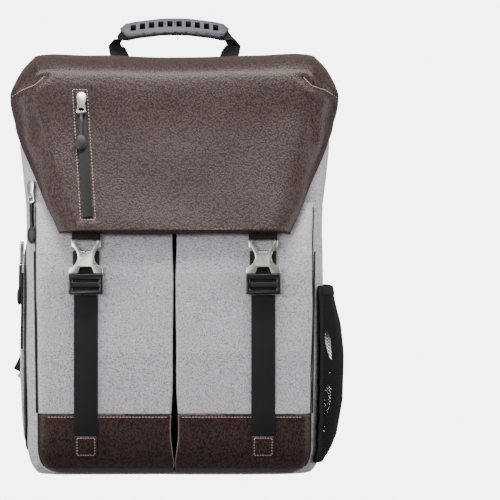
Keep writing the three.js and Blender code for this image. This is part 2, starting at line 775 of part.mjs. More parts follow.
// The same stations with one more halfway along each stretch, on a smooth curve.
function refined(stations) {
  const curve = new THREE.CatmullRomCurve3(stations.map((s) => new THREE.Vector3(s.x, s.y, s.z)));
  const stretches = stations.length - 1;
  return stations.flatMap((station, i) => {
    if (i === stretches) return [station];
    const half = curve.getPoint((i + 0.5) / stretches);
    const across = station.across.map((value, axis) => (value + stations[i + 1].across[axis]) / 2);
    return [station, { x: half.x, y: half.y, z: half.z, across }];
  });
}

const band = (stations, width, thickness, section = FLAT_SECTION) =>
  bandThrough(framesOf(stations), width, thickness, section);

// A strap of webbing that lies on the pockets' front from one height to another.
function layOnPocket(x, low, high, width, thickness, gap = LAY_GAP) {
  return band(
    levelsBetween(low, high).map((z) => ({ x, y: pocketAt(z).face - gap - thickness / 2, z })),
    width,
    thickness,
  );
}

// The straight line that a stiff piece keeps in front of a leaning face between two heights.
function lineBefore(faceAt, low, high) {
  const levelAt = (i) => THREE.MathUtils.lerp(low, high, i / LINE_STEPS);
  const levels = Array.from({ length: LINE_STEPS + 1 }, (_, i) => levelAt(i));
  const slope = (faceAt(high) - faceAt(low)) / (high - low);
  const lineAt = (z) => faceAt(low) + slope * (z - low);
  const proud = Math.max(...levels.map((z) => lineAt(z) - faceAt(z)));
  return { yAt: (z) => lineAt(z) - proud, tilt: -Math.atan(slope) };
}

const buckleTop = BODY_HEIGHT - FLAP_DROP - BUCKLE_DROP;
const buckleFoot = buckleTop - BUCKLE_HEIGHT;
const ladderFoot = buckleFoot - LADDER_HEIGHT;
const buckleLine = lineBefore((z) => pocketAt(z).face - LAY_GAP, ladderFoot, buckleTop);

// A front-facing plate: an outline drawn across and up, with a thickness towards the front.
function plate(shape, thickness, curveSegments = 6) {
  const geometry = new THREE.ExtrudeGeometry(shape, { depth: thickness, bevelEnabled: false, curveSegments });
  return geometry.rotateX(Math.PI / 2);
}

// The metal half of a buckle: a waisted plate with two horns that hold the bar of the flap's loop.
function buckleShape() {
  const [w, h] = [BUCKLE_WIDTH / 2, BUCKLE_HEIGHT];
  const shape = new THREE.Shape();
  shape.moveTo(-w, 0);
  shape.lineTo(-0.46 * w, 0);
  shape.lineTo(-0.32 * w, 0.2 * h);
  shape.lineTo(0.32 * w, 0.2 * h);
  shape.lineTo(0.46 * w, 0);
  shape.lineTo(w, 0);
  shape.lineTo(0.95 * w, 0.19 * h);
  shape.quadraticCurveTo(0.5 * w, 0.28 * h, 0.46 * w, 0.5 * h);
  shape.quadraticCurveTo(0.5 * w, 0.7 * h, 0.82 * w, 0.78 * h);
  shape.lineTo(0.84 * w, h);
  shape.lineTo(0.64 * w, h);
  shape.quadraticCurveTo(0.6 * w, 0.86 * h, 0.44 * w, 0.82 * h);
  shape.quadraticCurveTo(0.3 * w, 0.66 * h, 0.22 * w, 0.66 * h);
  shape.lineTo(-0.22 * w, 0.66 * h);
  shape.quadraticCurveTo(-0.3 * w, 0.66 * h, -0.44 * w, 0.82 * h);
  shape.quadraticCurveTo(-0.6 * w, 0.86 * h, -0.64 * w, h);
  shape.lineTo(-0.84 * w, h);
  shape.lineTo(-0.82 * w, 0.78 * h);
  shape.quadraticCurveTo(-0.5 * w, 0.7 * h, -0.46 * w, 0.5 * h);
  shape.quadraticCurveTo(-0.5 * w, 0.28 * h, -0.95 * w, 0.19 * h);
  shape.lineTo(-w, 0);
  return shape;
}

function rectangle(left, right, low, high) {
  const shape = new THREE.Shape();
  shape.moveTo(left, low);
  shape.lineTo(right, low);
  shape.lineTo(right, high);
  shape.lineTo(left, high);
  shape.lineTo(left, low);
  return shape;
}

// The black half: a frame with two bars that the strap is threaded round, and a tongue that runs under the
// metal half.
function ladderGeometry() {
  const w = BUCKLE_WIDTH / 2 - LADDER_INSET;
  const bar = w - LADDER_FRAME;
  const frame = rectangle(-w, w, -LADDER_HEIGHT, -GAP);
  frame.holes.push(rectangle(-bar, bar, -LADDER_HEIGHT * 0.42, -LADDER_HEIGHT * 0.26));
  frame.holes.push(rectangle(-bar, bar, -LADDER_HEIGHT * 0.84, -LADDER_HEIGHT * 0.68));
  const tongue = rectangle(-w * 0.78, w * 0.78, -TONGUE_ROOT, BUCKLE_HEIGHT * 0.7);
  return join(plate(frame, BUCKLE_THICKNESS + TONGUE_THICKNESS), plate(tongue, TONGUE_THICKNESS));
}

// A zip slider with its pull tab: a plate with an eye for the cord.
function sliderGeometry() {
  const [w, h] = [TAB_WIDTH / 2, TAB_LENGTH];
  const shape = new THREE.Shape();
  shape.moveTo(-w, TAB_CROWN);
  shape.lineTo(-w * 0.7, h * 0.45);
  shape.lineTo(-w, h * 0.75);
  shape.quadraticCurveTo(-w * 0.9, h, 0, h);
  shape.quadraticCurveTo(w * 0.9, h, w, h * 0.75);
  shape.lineTo(w * 0.7, h * 0.45);
  shape.lineTo(w, TAB_CROWN);
  shape.quadraticCurveTo(0, -2 * TAB_CROWN, -w, TAB_CROWN);
  shape.holes.push(rectangle(-w * 0.55, w * 0.55, h * 0.09, h * 0.24));
  return plate(shape, TAB_THICKNESS, 4);
}

// A rubber pull on its loop of cord, hanging from the eye of a tab.
function pullGeometry() {
  const rubber = new THREE.SphereGeometry(1, 12, 8);
  rubber.scale(PULL_WIDTH / 2, PULL_THICKNESS / 2, PULL_HEIGHT / 2);
  rubber.translate(0, -PULL_THICKNESS / 2, -PULL_DROP);
  const cordHalf = CORD_WIDTH / 2;
  const cordFoot = -PULL_DROP + PULL_HEIGHT * 0.35;
  const cord = boxBetween([-cordHalf, -CORD_WIDTH, cordFoot], [cordHalf, -GAP, -TAB_LENGTH * 0.02 - GAP]);
  return join(rubber, cord);
}

// A tape of zip down the flap, slanting a little, and the line that its slider and pull hang along.
const flapZipHigh = BODY_HEIGHT - FLAP_ZIP_DROP;
const flapZipLow = flapZipHigh - FLAP_ZIP_LENGTH;
const flapZipX = (z) => -FLAP_ZIP_REACH + FLAP_ZIP_SLANT * ((flapZipHigh - z) / FLAP_ZIP_LENGTH);

function flapZip() {
  const rows = flapAt(flapZipX(flapZipHigh), flapZipHigh).levels;
  const levels = rows.filter((z) => z < flapZipHigh && z > flapZipLow);
  const stations = [flapZipHigh, ...levels, flapZipLow].map((z) => {
    const x = flapZipX(z);
    const { y, slope } = flapAt(x, z);
    const out = new THREE.Vector3(0, -1, slope).setLength(LAY_GAP + ZIP_THICKNESS / 2);
    return { x, y: y + out.y, z: z + out.z };
  });
  return band(stations, ZIP_WIDTH, ZIP_THICKNESS);
}

const tabFoot = flapZipHigh - TAB_LENGTH;
const pullFoot = tabFoot - PULL_DROP - PULL_HEIGHT / 2;
const flapPullLine = lineBefore((z) => flapAt(flapZipX(z), z).y, pullFoot, flapZipHigh);

// Dark cloth that closes the slit between the pockets, set back from their front.
function pleatLiner() {
  const rings = levelsBetween(POCKET_LIFT + POCKET_WALL, POCKET_HEIGHT - 2).map((z) => {
    const pocket = pocketAt(z);
    const half = Math.max(0.12, pocket.slit - GAP);
    const back = bodyAt(z).front - GAP;
    const face = THREE.MathUtils.lerp(back, pocket.face, LINER_SETBACK);
    const corners = [[-half, face], [half, face], [half, back], [-half, back]];
    return corners.map(([x, y]) => new THREE.Vector3(x, y, z));
  });
  return loft(rings);
}

// The webbing that comes out from under the flap, sewn to its back, and holds the metal half of a buckle.
function flapLoop(x) {
  const foot = buckleTop + 4 * GAP;
  const edge = BODY_HEIGHT - FLAP_DROP;
  const behind = FLAP_THICKNESS + LAY_GAP + LOOP_THICKNESS / 2;
  const edges = [x - LOOP_WIDTH / 2, x + LOOP_WIDTH / 2];
  const behindFlap = (edgeX, z) => {
    const { y, slope } = flapAt(edgeX, z);
    return y + behind * Math.hypot(1, slope);
  };
  const under = (z) => Math.max(...edges.map((edgeX) => behindFlap(edgeX, z)));
  const metalMiddle = buckleLine.yAt(foot) - TONGUE_THICKNESS - GAP - BUCKLE_THICKNESS / 2;
  const stations = [
    { x, y: metalMiddle, z: foot },
    { x, y: under(edge + LOOP_HIDDEN), z: edge + LOOP_HIDDEN },
    { x, y: under(edge + 2 * LOOP_HIDDEN), z: edge + 2 * LOOP_HIDDEN },
  ];
  return band(stations, LOOP_WIDTH, LOOP_THICKNESS);
}

// A zip up the outer side of a pocket, just behind its front.
function pocketZip(sign) {
  const stations = levelsBetween(FOOT_HEIGHT + LAY_GAP, POCKET_HEIGHT * SIDE_ZIP_SHARE).map((z) => {
    const pocket = pocketAt(z);
    const out = pocket.half + LAY_GAP + ZIP_THICKNESS / 2;
    return { x: sign * out, y: pocket.face + SIDE_ZIP_SETBACK, z, across: [0, 1, 0] };
  });
  return band(stations, ZIP_WIDTH * 0.8, ZIP_THICKNESS);
}

// The handle: one length of webbing whose face turns to the front as it bends over into the arch of the grip.
// X is a share of half of HANDLE_SPREAD, up and back are shares of HANDLE_RISE.
const HANDLE_STATIONS = [
  { x: 1.0, up: -0.47, back: 0.0, across: [1, 0, 0] },
  { x: 1.0, up: -0.24, back: 0.055, across: [1, 0, 0] },
  { x: 1.0, up: 0.06, back: 0.085, across: [1, 0.02, -0.02] },
  { x: 1.02, up: 0.3, back: 0.13, across: [1, -0.1, -0.15] },
  { x: 1.1, up: 0.52, back: 0.18, across: [0.9, -0.25, -0.3] },
  { x: 1.17, up: 0.69, back: 0.21, across: [0.7, -0.45, -0.6] },
  { x: 1.09, up: 0.83, back: 0.23, across: [0.35, -0.6, -0.7] },
  { x: 0.92, up: 0.91, back: 0.25, across: [0.1, -0.68, -0.7] },
  { x: 0.6, up: 0.96, back: 0.26, across: [0.03, -0.7, -0.7] },
  { x: 0.3, up: 0.99, back: 0.265, across: [0, -0.7, -0.7] },
  { x: 0.0, up: 1.0, back: 0.27, across: [0, -0.7, -0.7] },
];
const bandFace = LAY_GAP + BACK_BAND_THICKNESS + LAY_GAP;
const handleRootZ = BODY_HEIGHT + HANDLE_STATIONS[0].up * HANDLE_RISE;
const handleRootY = bodyAt(handleRootZ).back + bandFace + HANDLE_WEB_THICKNESS / 2;
const handlePlace = (row, side) => ({
  x: (side * row.x * HANDLE_SPREAD) / 2,
  y: handleRootY + row.back * HANDLE_RISE,
  z: BODY_HEIGHT + row.up * HANDLE_RISE,
  across: [side * row.across[0], row.across[1], row.across[2]],
});
const handleStations = refined([
  ...HANDLE_STATIONS.map((row) => handlePlace(row, 1)),
  ...HANDLE_STATIONS.slice(0, -1).reverse().map((row) => handlePlace(row, -1)),
]);

// The rubber grip over the middle of the handle, with slots that show the webbing under it.
const GRIP_FROM = 13;
const GRIP_SECTION = [[-0.5, -0.5], [0.5, -0.5], [0.5, 0.1], [0.34, 0.5], [-0.34, 0.5], [-0.5, 0.1]];
function gripGeometry() {
  const held = framesOf(handleStations).slice(GRIP_FROM, handleStations.length - GRIP_FROM);
  const out = (HANDLE_WEB_THICKNESS + GRIP_THICKNESS) / 2 + LAY_GAP + 2 * GAP;
  const last = held.length - 1;
  const lifted = held.map((frame, i) => ({
    ...frame,
    place: frame.place.clone().addScaledVector(frame.out, out),
    wide: i === 0 || i === last ? 0.7 : 1,
  }));
  const bar = bandThrough(lifted, GRIP_WIDTH, GRIP_THICKNESS, GRIP_SECTION);
  const span = held[0].place.x - held[last].place.x;
  const arch = held.filter((frame) => frame.place.x >= -1);
  const slots = Array.from({ length: GRIP_SLOTS }, (_, i) => {
    const x = span * (0.5 - (i + 1) / (GRIP_SLOTS + 1));
    const rise = rowAt(arch.map(({ place }) => ({ height: -place.x, y: place.y, z: place.z })), -Math.abs(x));
    const slot = new THREE.BoxGeometry(SLOT_WIDTH, SLOT_LENGTH, GRIP_THICKNESS * 6);
    return slot.rotateX(Math.PI / 4).translate(x, rise.y, rise.z);
  });
  return cut(bar, ...slots);
}

// The shoulder straps, row by row from the back band down. X is a share of half of BODY_WIDTH, up of
// BODY_HEIGHT, out of SHOULDER_BOW, wide and thick of the strap's own sizes.
const SHOULDER_STATIONS = [
  { x: 0.3, up: 0.885, out: 0.0, wide: 0.9, thick: 0.6 },
  { x: 0.31, up: 0.935, out: 0.08, wide: 0.95, thick: 0.8 },
  { x: 0.325, up: 0.958, out: 0.3, wide: 1.0, thick: 1.0 },
  { x: 0.345, up: 0.945, out: 0.53, wide: 1.0, thick: 1.0 },
  { x: 0.38, up: 0.88, out: 0.72, wide: 1.0, thick: 1.0 },
  { x: 0.44, up: 0.79, out: 0.88, wide: 1.0, thick: 1.0 },
  { x: 0.53, up: 0.69, out: 0.98, wide: 0.96, thick: 1.0 },
  { x: 0.63, up: 0.6, out: 0.98, wide: 0.86, thick: 1.0 },
  { x: 0.72, up: 0.53, out: 0.9, wide: 0.76, thick: 0.95 },
  { x: 0.79, up: 0.475, out: 0.8, wide: 0.66, thick: 0.8 },
];
const shoulderRootHalf = (SHOULDER_THICKNESS * SHOULDER_STATIONS[0].thick) / 2;
const shoulderRootY = bodyAt(bandLow).back + bandFace + GAP + HANDLE_WEB_THICKNESS + shoulderRootHalf;
const shoulderStations = SHOULDER_STATIONS.map((row) => ({
  x: (row.x * BODY_WIDTH) / 2,
  y: shoulderRootY + row.out * SHOULDER_BOW,
  z: row.up * BODY_HEIGHT,
  wide: row.wide,
  thick: row.thick,
  across: [1, 0, 0.25],
}));

// The adjuster at the foot of a shoulder strap, and the webbing from it to the cloth anchor at the side seam.
const strapEnd = shoulderStations[shoulderStations.length - 1];
const adjusterTop = strapEnd.z - ADJUSTER_DROP;
const adjusterY = strapEnd.y - ADJUSTER_IN;
const adjusterX = strapEnd.x + ADJUSTER_OUT;
function adjusterGeometry() {
  const w = ADJUSTER_WIDTH / 2;
  const bar = w - ADJUSTER_FRAME;
  const shape = rectangle(-w, w, -ADJUSTER_HEIGHT, 0);
  shape.holes.push(rectangle(-bar, bar, -ADJUSTER_HEIGHT * 0.36, -ADJUSTER_HEIGHT * 0.22));
  shape.holes.push(rectangle(-bar, bar, -ADJUSTER_HEIGHT * 0.8, -ADJUSTER_HEIGHT * 0.66));
  return plate(shape, ADJUSTER_THICKNESS);
}

const anchorY = bodyAt(ANCHOR_TOP).back - BODY_CORNER / 4;
const anchorX = bodySideX(anchorY - ANCHOR_THICKNESS / 2, ANCHOR_TOP) + LAY_GAP;
function anchorGeometry() {
  const shape = new THREE.Shape();
  shape.moveTo(anchorX, ANCHOR_TOP - ANCHOR_HEIGHT);
  shape.lineTo(anchorX + ANCHOR_REACH * 0.7, ANCHOR_TOP - ANCHOR_HEIGHT * 0.45);
  shape.lineTo(anchorX + ANCHOR_REACH * 0.35, ANCHOR_TOP - ANCHOR_HEIGHT * 0.12);
  shape.lineTo(anchorX, ANCHOR_TOP);
  shape.lineTo(anchorX, ANCHOR_TOP - ANCHOR_HEIGHT);
  return plate(shape, ANCHOR_THICKNESS).translate(0, anchorY + ANCHOR_THICKNESS / 2, 0);
}

const adjusterFoot = adjusterTop - ADJUSTER_HEIGHT;
// The way the webbing leaves its anchor, and how it bows out and turns on its way to the adjuster.
const LOWER_RUN = [-0.456, 0, 0.89];
const LOWER_ACROSS = [0.89, 0, 0.456];
const LOWER_TURNS = [
  { share: 0.25, bow: 4, across: [0.75, 0, 0.36] },
  { share: 0.5, bow: 5, across: [0.9, 0, 0.3] },
  { share: 0.75, bow: 3, across: [1, 0, 0.15] },
];
function lowerWebbing() {
  const along = new THREE.Vector3(...LOWER_RUN);
  const start = new THREE.Vector3(
    anchorX + ANCHOR_REACH * 0.5,
    anchorY + (ANCHOR_THICKNESS + STRAP_THICKNESS) / 2 + LAY_GAP,
    ANCHOR_TOP - ANCHOR_HEIGHT * 0.4,
  );
  const leaving = start.clone().addScaledVector(along, STRAP_WIDTH * 0.6);
  const end = new THREE.Vector3(adjusterX, adjusterY - ADJUSTER_THICKNESS / 2, adjusterFoot - 2 * GAP);
  const arriving = end.clone().setZ(end.z - STRAP_WIDTH * 0.4);
  const turns = LOWER_TURNS.map(({ share, bow, across: turned }) => {
    const place = leaving.clone().lerp(arriving, share);
    return { x: place.x + bow, y: place.y, z: place.z, across: turned };
  });
  const slanted = [start, leaving].map((place) => ({ ...place, across: LOWER_ACROSS }));
  const stations = [...slanted, ...turns, { ...arriving }, { ...end }];
  return band(stations, STRAP_WIDTH, STRAP_THICKNESS);
}

function hangingTail() {
  const out = LAY_GAP + STRAP_THICKNESS / 2;
  const stations = [0, 0.35, 0.7, 1].map((share) => ({
    x: adjusterX - TAIL_SWAY * share,
    y: adjusterY + out + TAIL_SWAY * Math.sin(share * Math.PI * 0.5),
    z: adjusterFoot + TAIL_LAP - TAIL_LENGTH * share,
  }));
  return band(stations, STRAP_WIDTH, STRAP_THICKNESS);
}

// Finishes, as plain colours.
const CLOTH = new THREE.MeshStandardMaterial({ name: "grey_cloth", color: 0xaaa8ae, roughness: 0.9 });
const LEATHER = new THREE.MeshStandardMaterial({ name: "leather", color: 0x4b3432, roughness: 0.5 });
const WEBBING = new THREE.MeshStandardMaterial({ name: "webbing", color: 0x1d1c20, roughness: 0.8 });
const NETTING = new THREE.MeshStandardMaterial({ name: "netting", color: 0x222022, roughness: 0.9 });
const AIR_MESH = new THREE.MeshStandardMaterial({ name: "air_mesh", color: 0x353335, roughness: 0.9 });
const PLASTIC = new THREE.MeshStandardMaterial({ name: "black_plastic", color: 0x19191a, roughness: 0.4 });
const METAL = new THREE.MeshStandardMaterial({ name: "nickel", color: 0xb9b6a8, roughness: 0.35, metalness: 1 });
const RUBBER = new THREE.MeshStandardMaterial({ name: "rubber", color: 0x69666e, roughness: 0.6 });
const ZIP = new THREE.MeshStandardMaterial({ name: "zip_tape", color: 0x333336, roughness: 0.55 });

const backpack = new THREE.Group();

function add(name, geometry, material, parent = backpack) {
  const mesh = new THREE.Mesh(geometry, material);
  mesh.name = name;
  parent.add(mesh);
  return mesh;
}

const SIDES = [
  { name: "left", sign: -1 },
  { name: "right", sign: 1 },
];
const forSide = (geometry, sign) => (sign < 0 ? mirrored(geometry) : geometry);

add("main_body", mainBody(), CLOTH);

const shell = pocketShell();
const cloth = keepInside(shell, clothBox);
const foot = keepInside(shell, footBox);
for (const { name, sign } of SIDES) {
  add(`front_pocket_${name}`, forSide(cloth, sign), CLOTH);
  add(`leather_foot_${name}`, forSide(foot, sign), LEATHER);
}

add("pleat_liner", pleatLiner(), WEBBING);
add("flap", flap(), LEATHER);

// The zip in the flap.
add("flap_zip_tape", flapZip(), ZIP);
const zipFace = LAY_GAP + ZIP_THICKNESS + LAY_GAP;
const hangOnFlap = new THREE.Group();
hangOnFlap.position.set(flapZipX(tabFoot), flapPullLine.yAt(tabFoot) - zipFace, tabFoot);
hangOnFlap.rotation.x = flapPullLine.tilt;
backpack.add(hangOnFlap);
add("flap_zip_slider", sliderGeometry(), METAL, hangOnFlap);
add("flap_zip_pull", pullGeometry(), RUBBER, hangOnFlap);

// Straps, buckles and leather tabs on the front.
for (const { name, sign } of SIDES) {
  const x = (sign * STRAP_SPACING) / 2;
  const tabTop = STRAP_FOOT - GAP;
  const frontStrap = layOnPocket(x, STRAP_FOOT, ladderFoot - GAP, STRAP_WIDTH, STRAP_THICKNESS);
  add(`front_strap_${name}`, frontStrap, WEBBING);
  add(`strap_tab_${name}`, layOnPocket(x, tabTop - TAB_HEIGHT, tabTop, TAB_WIDE, TAB_THICK), LEATHER);
  add(`flap_loop_${name}`, flapLoop(x), WEBBING);
  const closure = new THREE.Group();
  closure.position.set(x, buckleLine.yAt(buckleFoot), buckleFoot);
  closure.rotation.x = buckleLine.tilt;
  backpack.add(closure);
  add(`buckle_plastic_${name}`, ladderGeometry(), PLASTIC, closure);
  const metal = add(`buckle_metal_${name}`, plate(buckleShape(), BUCKLE_THICKNESS), METAL, closure);
  metal.position.y = -TONGUE_THICKNESS - GAP;
  add(`pocket_zip_${name}`, pocketZip(sign), ZIP);
}

// The mesh pocket on the right, and the zipped doors in the left side and the back.
add("side_pocket_net", netPocket(), NETTING);
add("side_pocket_band", netBand(), WEBBING);
add("side_door", panel(sideDoor), CLOTH);
add("side_door_zip", zipRing(sideDoor), ZIP);
add("back_door", panel(backDoor), CLOTH);
add("back_door_zip", zipRing(backDoor), ZIP);

// Metal sliders with rubber pulls, hanging flat on a surface: one at the pocket's zip, the rest at the doors.
const frontCorner = (angle, z, out) => {
  const body = bodyAt(z);
  const [across, back] = [Math.sin(angle), 1 - Math.cos(angle)];
  const reach = BODY_CORNER + out;
  return new THREE.Vector3(
    -(body.half - BODY_CORNER) - reach * across,
    body.front - out + reach * back,
    z,
  );
};

function hangOn(surface, place, step, z, out) {
  const at = (u, height) => surface(u, height, out);
  const up = at(place, z).sub(at(place, z - TAB_LENGTH)).normalize();
  const across = at(place + step, z).sub(at(place - step, z));
  across.addScaledVector(up, -across.dot(up)).normalize();
  const inward = up.clone().cross(across);
  const group = new THREE.Group();
  group.position.copy(at(place, z));
  group.quaternion.setFromRotationMatrix(new THREE.Matrix4().makeBasis(across, inward, up));
  backpack.add(group);
  return group;
}

const sideTabFoot = sideDoor.high - TAB_LENGTH / 2;
const doorFace = panelOut(sideDoor, 0.5, sideTabFoot - PULL_DROP);
const cornerSliderFoot = BODY_HEIGHT - FLAP_DROP + CORNER_SLIDER_RISE;
const frontSliderY = SIDE_DOOR_MIDDLE - DOOR_SLIDER_SPREAD / 2;
// The step along a surface from which the way across it is read: an angle at the corner, a length on a side.
const CORNER_STEP = 0.1;
const SIDE_STEP = 4;
const onDoor = (y) => hangOn(leftSide, y, -SIDE_STEP, sideTabFoot, doorFace);
const onCorner = hangOn(frontCorner, CORNER_SLIDER_TURN, -CORNER_STEP, cornerSliderFoot, LAY_GAP);
const HANGERS = [
  { name: "pocket_zip", group: onCorner },
  { name: "side_door_front", group: onDoor(frontSliderY) },
  { name: "side_door_back", group: onDoor(frontSliderY + DOOR_SLIDER_SPREAD) },
];
for (const { name, group } of HANGERS) {
  add(`${name}_slider`, sliderGeometry(), METAL, group);
  add(`${name}_pull`, pullGeometry(), RUBBER, group);
}

// Pads, band and harness on the back.
add("back_band", backBand(), WEBBING);
const [pad, lumbar] = [backPad(), lumbarPad()];
const strap = band(shoulderStations, SHOULDER_WIDTH, SHOULDER_THICKNESS, PADDED_SECTION);
const [adjuster, anchor, lower, tail] = [adjusterGeometry(), anchorGeometry(), lowerWebbing(), hangingTail()];
for (const { name, sign } of SIDES) {
  add(`back_pad_${name}`, forSide(pad, sign), AIR_MESH);
  add(`lumbar_pad_${name}`, forSide(lumbar, sign), AIR_MESH);
  add(`shoulder_strap_${name}`, forSide(strap, sign), AIR_MESH);
  add(`strap_anchor_${name}`, forSide(anchor, sign), CLOTH);
  add(`lower_webbing_${name}`, forSide(lower, sign), WEBBING);
  add(`webbing_tail_${name}`, forSide(tail, sign), WEBBING);
  const held = add(`strap_adjuster_${name}`, adjuster, PLASTIC);
  held.position.set(sign * adjusterX, adjusterY, adjusterTop);
}

// The handle and its grip.
add("handle_webbing", band(handleStations, HANDLE_WEB_WIDTH, HANDLE_WEB_THICKNESS), WEBBING);
add("handle_grip", gripGeometry(), RUBBER);

export default backpack;
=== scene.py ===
# %% [markdown]
# # A camera backpack
# The bag is grey cloth with a thick leather flap, webbing, metal buckles and a net pocket. Its sizes come
# from a CAD frame that holds every solid. This lesson gives each solid its looks: rounded edges, seams,
# stitches, a real net and finishes made of shader nodes.

import math

import bmesh
import bpy
import numpy as np
from mathutils import Matrix, Vector, noise
from mathutils.bvhtree import BVHTree


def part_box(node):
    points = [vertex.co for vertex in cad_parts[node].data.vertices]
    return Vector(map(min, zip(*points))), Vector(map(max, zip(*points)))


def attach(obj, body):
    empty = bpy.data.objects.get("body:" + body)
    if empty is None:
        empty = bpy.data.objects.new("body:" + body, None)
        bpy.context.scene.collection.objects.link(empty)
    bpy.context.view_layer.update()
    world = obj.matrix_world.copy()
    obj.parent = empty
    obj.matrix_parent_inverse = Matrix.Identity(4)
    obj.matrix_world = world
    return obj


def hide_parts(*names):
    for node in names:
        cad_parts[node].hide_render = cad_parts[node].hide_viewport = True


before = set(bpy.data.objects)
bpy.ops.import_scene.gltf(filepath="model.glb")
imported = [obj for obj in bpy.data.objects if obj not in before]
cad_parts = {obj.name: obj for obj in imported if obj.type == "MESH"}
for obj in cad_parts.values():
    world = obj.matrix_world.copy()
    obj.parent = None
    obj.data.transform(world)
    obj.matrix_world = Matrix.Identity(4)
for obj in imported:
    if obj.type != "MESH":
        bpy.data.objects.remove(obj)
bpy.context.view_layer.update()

# %% [markdown]
# ## The camera
# The photo was taken from straight in front, level with the middle of the bag. A camera 2.5 m away with a
# long lens shows 525 mm of the bag's front plane across the picture. The bag stands left of the middle, and
# a lens shift puts it there without turning the camera.

# %% Camera
FRONT_Y = -0.102
DISTANCE = 2.5
SPAN = 0.525
SHIFT = 0.151

camera_data = bpy.data.cameras.new("camera")
camera_data.sensor_width = 36
camera_data.lens = 36 * DISTANCE / SPAN
camera_data.shift_x = SHIFT
camera = bpy.data.objects.new("camera", camera_data)
camera.location = (0, FRONT_Y - DISTANCE, 0.24)
camera.rotation_euler = (math.pi / 2, 0, 0)
bpy.context.scene.collection.objects.link(camera)
bpy.context.scene.camera = camera


def from_photo(px, py, y=FRONT_Y):
    """The place in the frame seen at a pixel of the photo, at a depth y."""
    scale = SPAN / 500 * (DISTANCE + y - FRONT_Y) / DISTANCE
    return Vector(((px - 250 + 500 * SHIFT) * scale, y, 0.24 + (249.5 - py) * scale))


# %% [markdown]
# ## Sums made of nodes
# A material is a graph of nodes, and long graphs are hard to read as code. This small class holds one
# socket. Adding or multiplying two of them adds a Math node, so a pattern reads like a formula.

# %% The material helper
class Signal:
    """A socket of a material that takes part in sums."""

    def __init__(self, socket):
        self.socket = socket

    def node(self, kind, settings=None, sockets=None, out=0):
        return add_node(self.socket.id_data, kind, settings, sockets, out)

    def math(self, operation, *others):
        return self.node("Math", {"operation": operation}, dict(enumerate((self, *others))))

    def vector(self, operation, other):
        return self.node("VectorMath", {"operation": operation}, {0: self, 1: other})

    def __add__(self, other):
        return self.math("ADD", other)

    def __sub__(self, other):
        return self.math("SUBTRACT", other)

    def __mul__(self, other):
        return self.math("MULTIPLY", other)

    def __rsub__(self, other):
        return self.math("MULTIPLY_ADD", -1.0, other)

    def between(self, low, high):
        """0 below low, 1 above high, smooth between them."""
        return self.node(
            "MapRange",
            {"interpolation_type": "SMOOTHSTEP"},
            {"Value": self, "From Min": low, "From Max": high},
        )

    __radd__ = __add__
    __rmul__ = __mul__


def add_node(tree, kind, settings=None, sockets=None, out=0):
    node = tree.nodes.new("ShaderNode" + kind)
    for key, value in (settings or {}).items():
        setattr(node, key, value)
    for key, value in (sockets or {}).items():
        if isinstance(value, Signal):
            tree.links.new(value.socket, node.inputs[key])
        else:
            node.inputs[key].default_value = value
    return Signal(node.outputs[out])


def mix(low, high, factor):
    """Colour low where factor is 0, colour high where it is 1."""
    settings = {"data_type": "RGBA"}
    return factor.node("Mix", settings, {0: factor, 6: low, 7: high}, out=2)


def material(name, paint):
    """A material from paint(place), which gives the Principled shader's sockets and a height in metres."""
    made = bpy.data.materials.new(name)
    made.use_nodes = True
    tree = made.node_tree
    shader = tree.nodes["Principled BSDF"]
    place = add_node(tree, "TexCoord", out=3)
    for key, value in paint(place).items():
        if key == "height":
            bump = {"Height": value, "Distance": 1.0, "Strength": 1.0}
            tree.links.new(add_node(tree, "Bump", None, bump).socket, shader.inputs["Normal"])
        elif isinstance(value, Signal):
            tree.links.new(value.socket, shader.inputs[key])
        else:
            shader.inputs[key].default_value = value
    return made


def cloudy(place, scale, detail=2.0, stretch=(1, 1, 1)):
    """Soft noise from 0 to 1, with about scale spots to a metre, stretched along the axes."""
    place = place.vector("MULTIPLY", stretch)
    return place.node("TexNoise", None, {"Vector": place, "Scale": scale, "Detail": detail})


def wave(signal, per_metre):
    """A smooth wave from 0 to 1 along a length."""
    return (signal * (per_metre * math.tau)).math("SINE") * 0.5 + 0.5


def axes(place):
    """The three parts of a place."""
    return [place.node("SeparateXYZ", None, {0: place}, out=i) for i in range(3)]


def grey(level, tint=(1, 1, 1)):
    return (level * tint[0], level * tint[1], level * tint[2], 1)


# %% [markdown]
# ## Finishes
# Leather is dark brown with a pebbled grain: cells of Voronoi noise, pulled a little along the hide, stand
# up as tiny cushions, and the creases between them are darker, partly as the grain's own tone and partly as
# painted shade. Heathered cloth mixes light and dark threads, so two noises stretched across and up make its
# flecks. Webbing is a twill of fine slanted ribs, with painted shade in the hollows between them, and spacer
# mesh is a field of small round holes, painted nearly black inside as painted shade.

# %% Leather, cloth, webbing and mesh
def leather_paint(place):
    drift = place.node("TexNoise", None, {"Vector": place, "Scale": 60.0, "Detail": 1.0}, out=1)
    pushed = drift.vector("MULTIPLY", (0.006, 0.006, 0.006))
    bent = place.vector("MULTIPLY", (1.25, 1.0, 0.8)).vector("ADD", pushed)
    cells = place.node("TexVoronoi", {"feature": "F1"}, {"Vector": bent, "Scale": 480.0})
    fine = cloudy(place, 1300.0)
    broad = cloudy(place, 12.0)
    pebble = 1.0 - cells.between(0.1, 0.8)
    skin = mix((0.022, 0.0098, 0.0084, 1), (0.036, 0.0172, 0.0154, 1), broad)
    return {
        # The creases take a near black colour: partly the grain's own tone, partly painted shade in the
        # creases.
        "Base Color": mix((0.009, 0.004, 0.0035, 1), skin, pebble.between(0.1, 0.6)),
        "Roughness": fine * 0.14 + 0.36,
        "Specular IOR Level": 0.2,
        "height": pebble * 0.00014 + fine * 0.00002,
    }


def cut_edge_paint(place):
    colour = mix((0.13, 0.075, 0.068, 1), (0.2, 0.125, 0.115, 1), cloudy(place, 400.0))
    return {"Base Color": colour, "Roughness": 0.65}


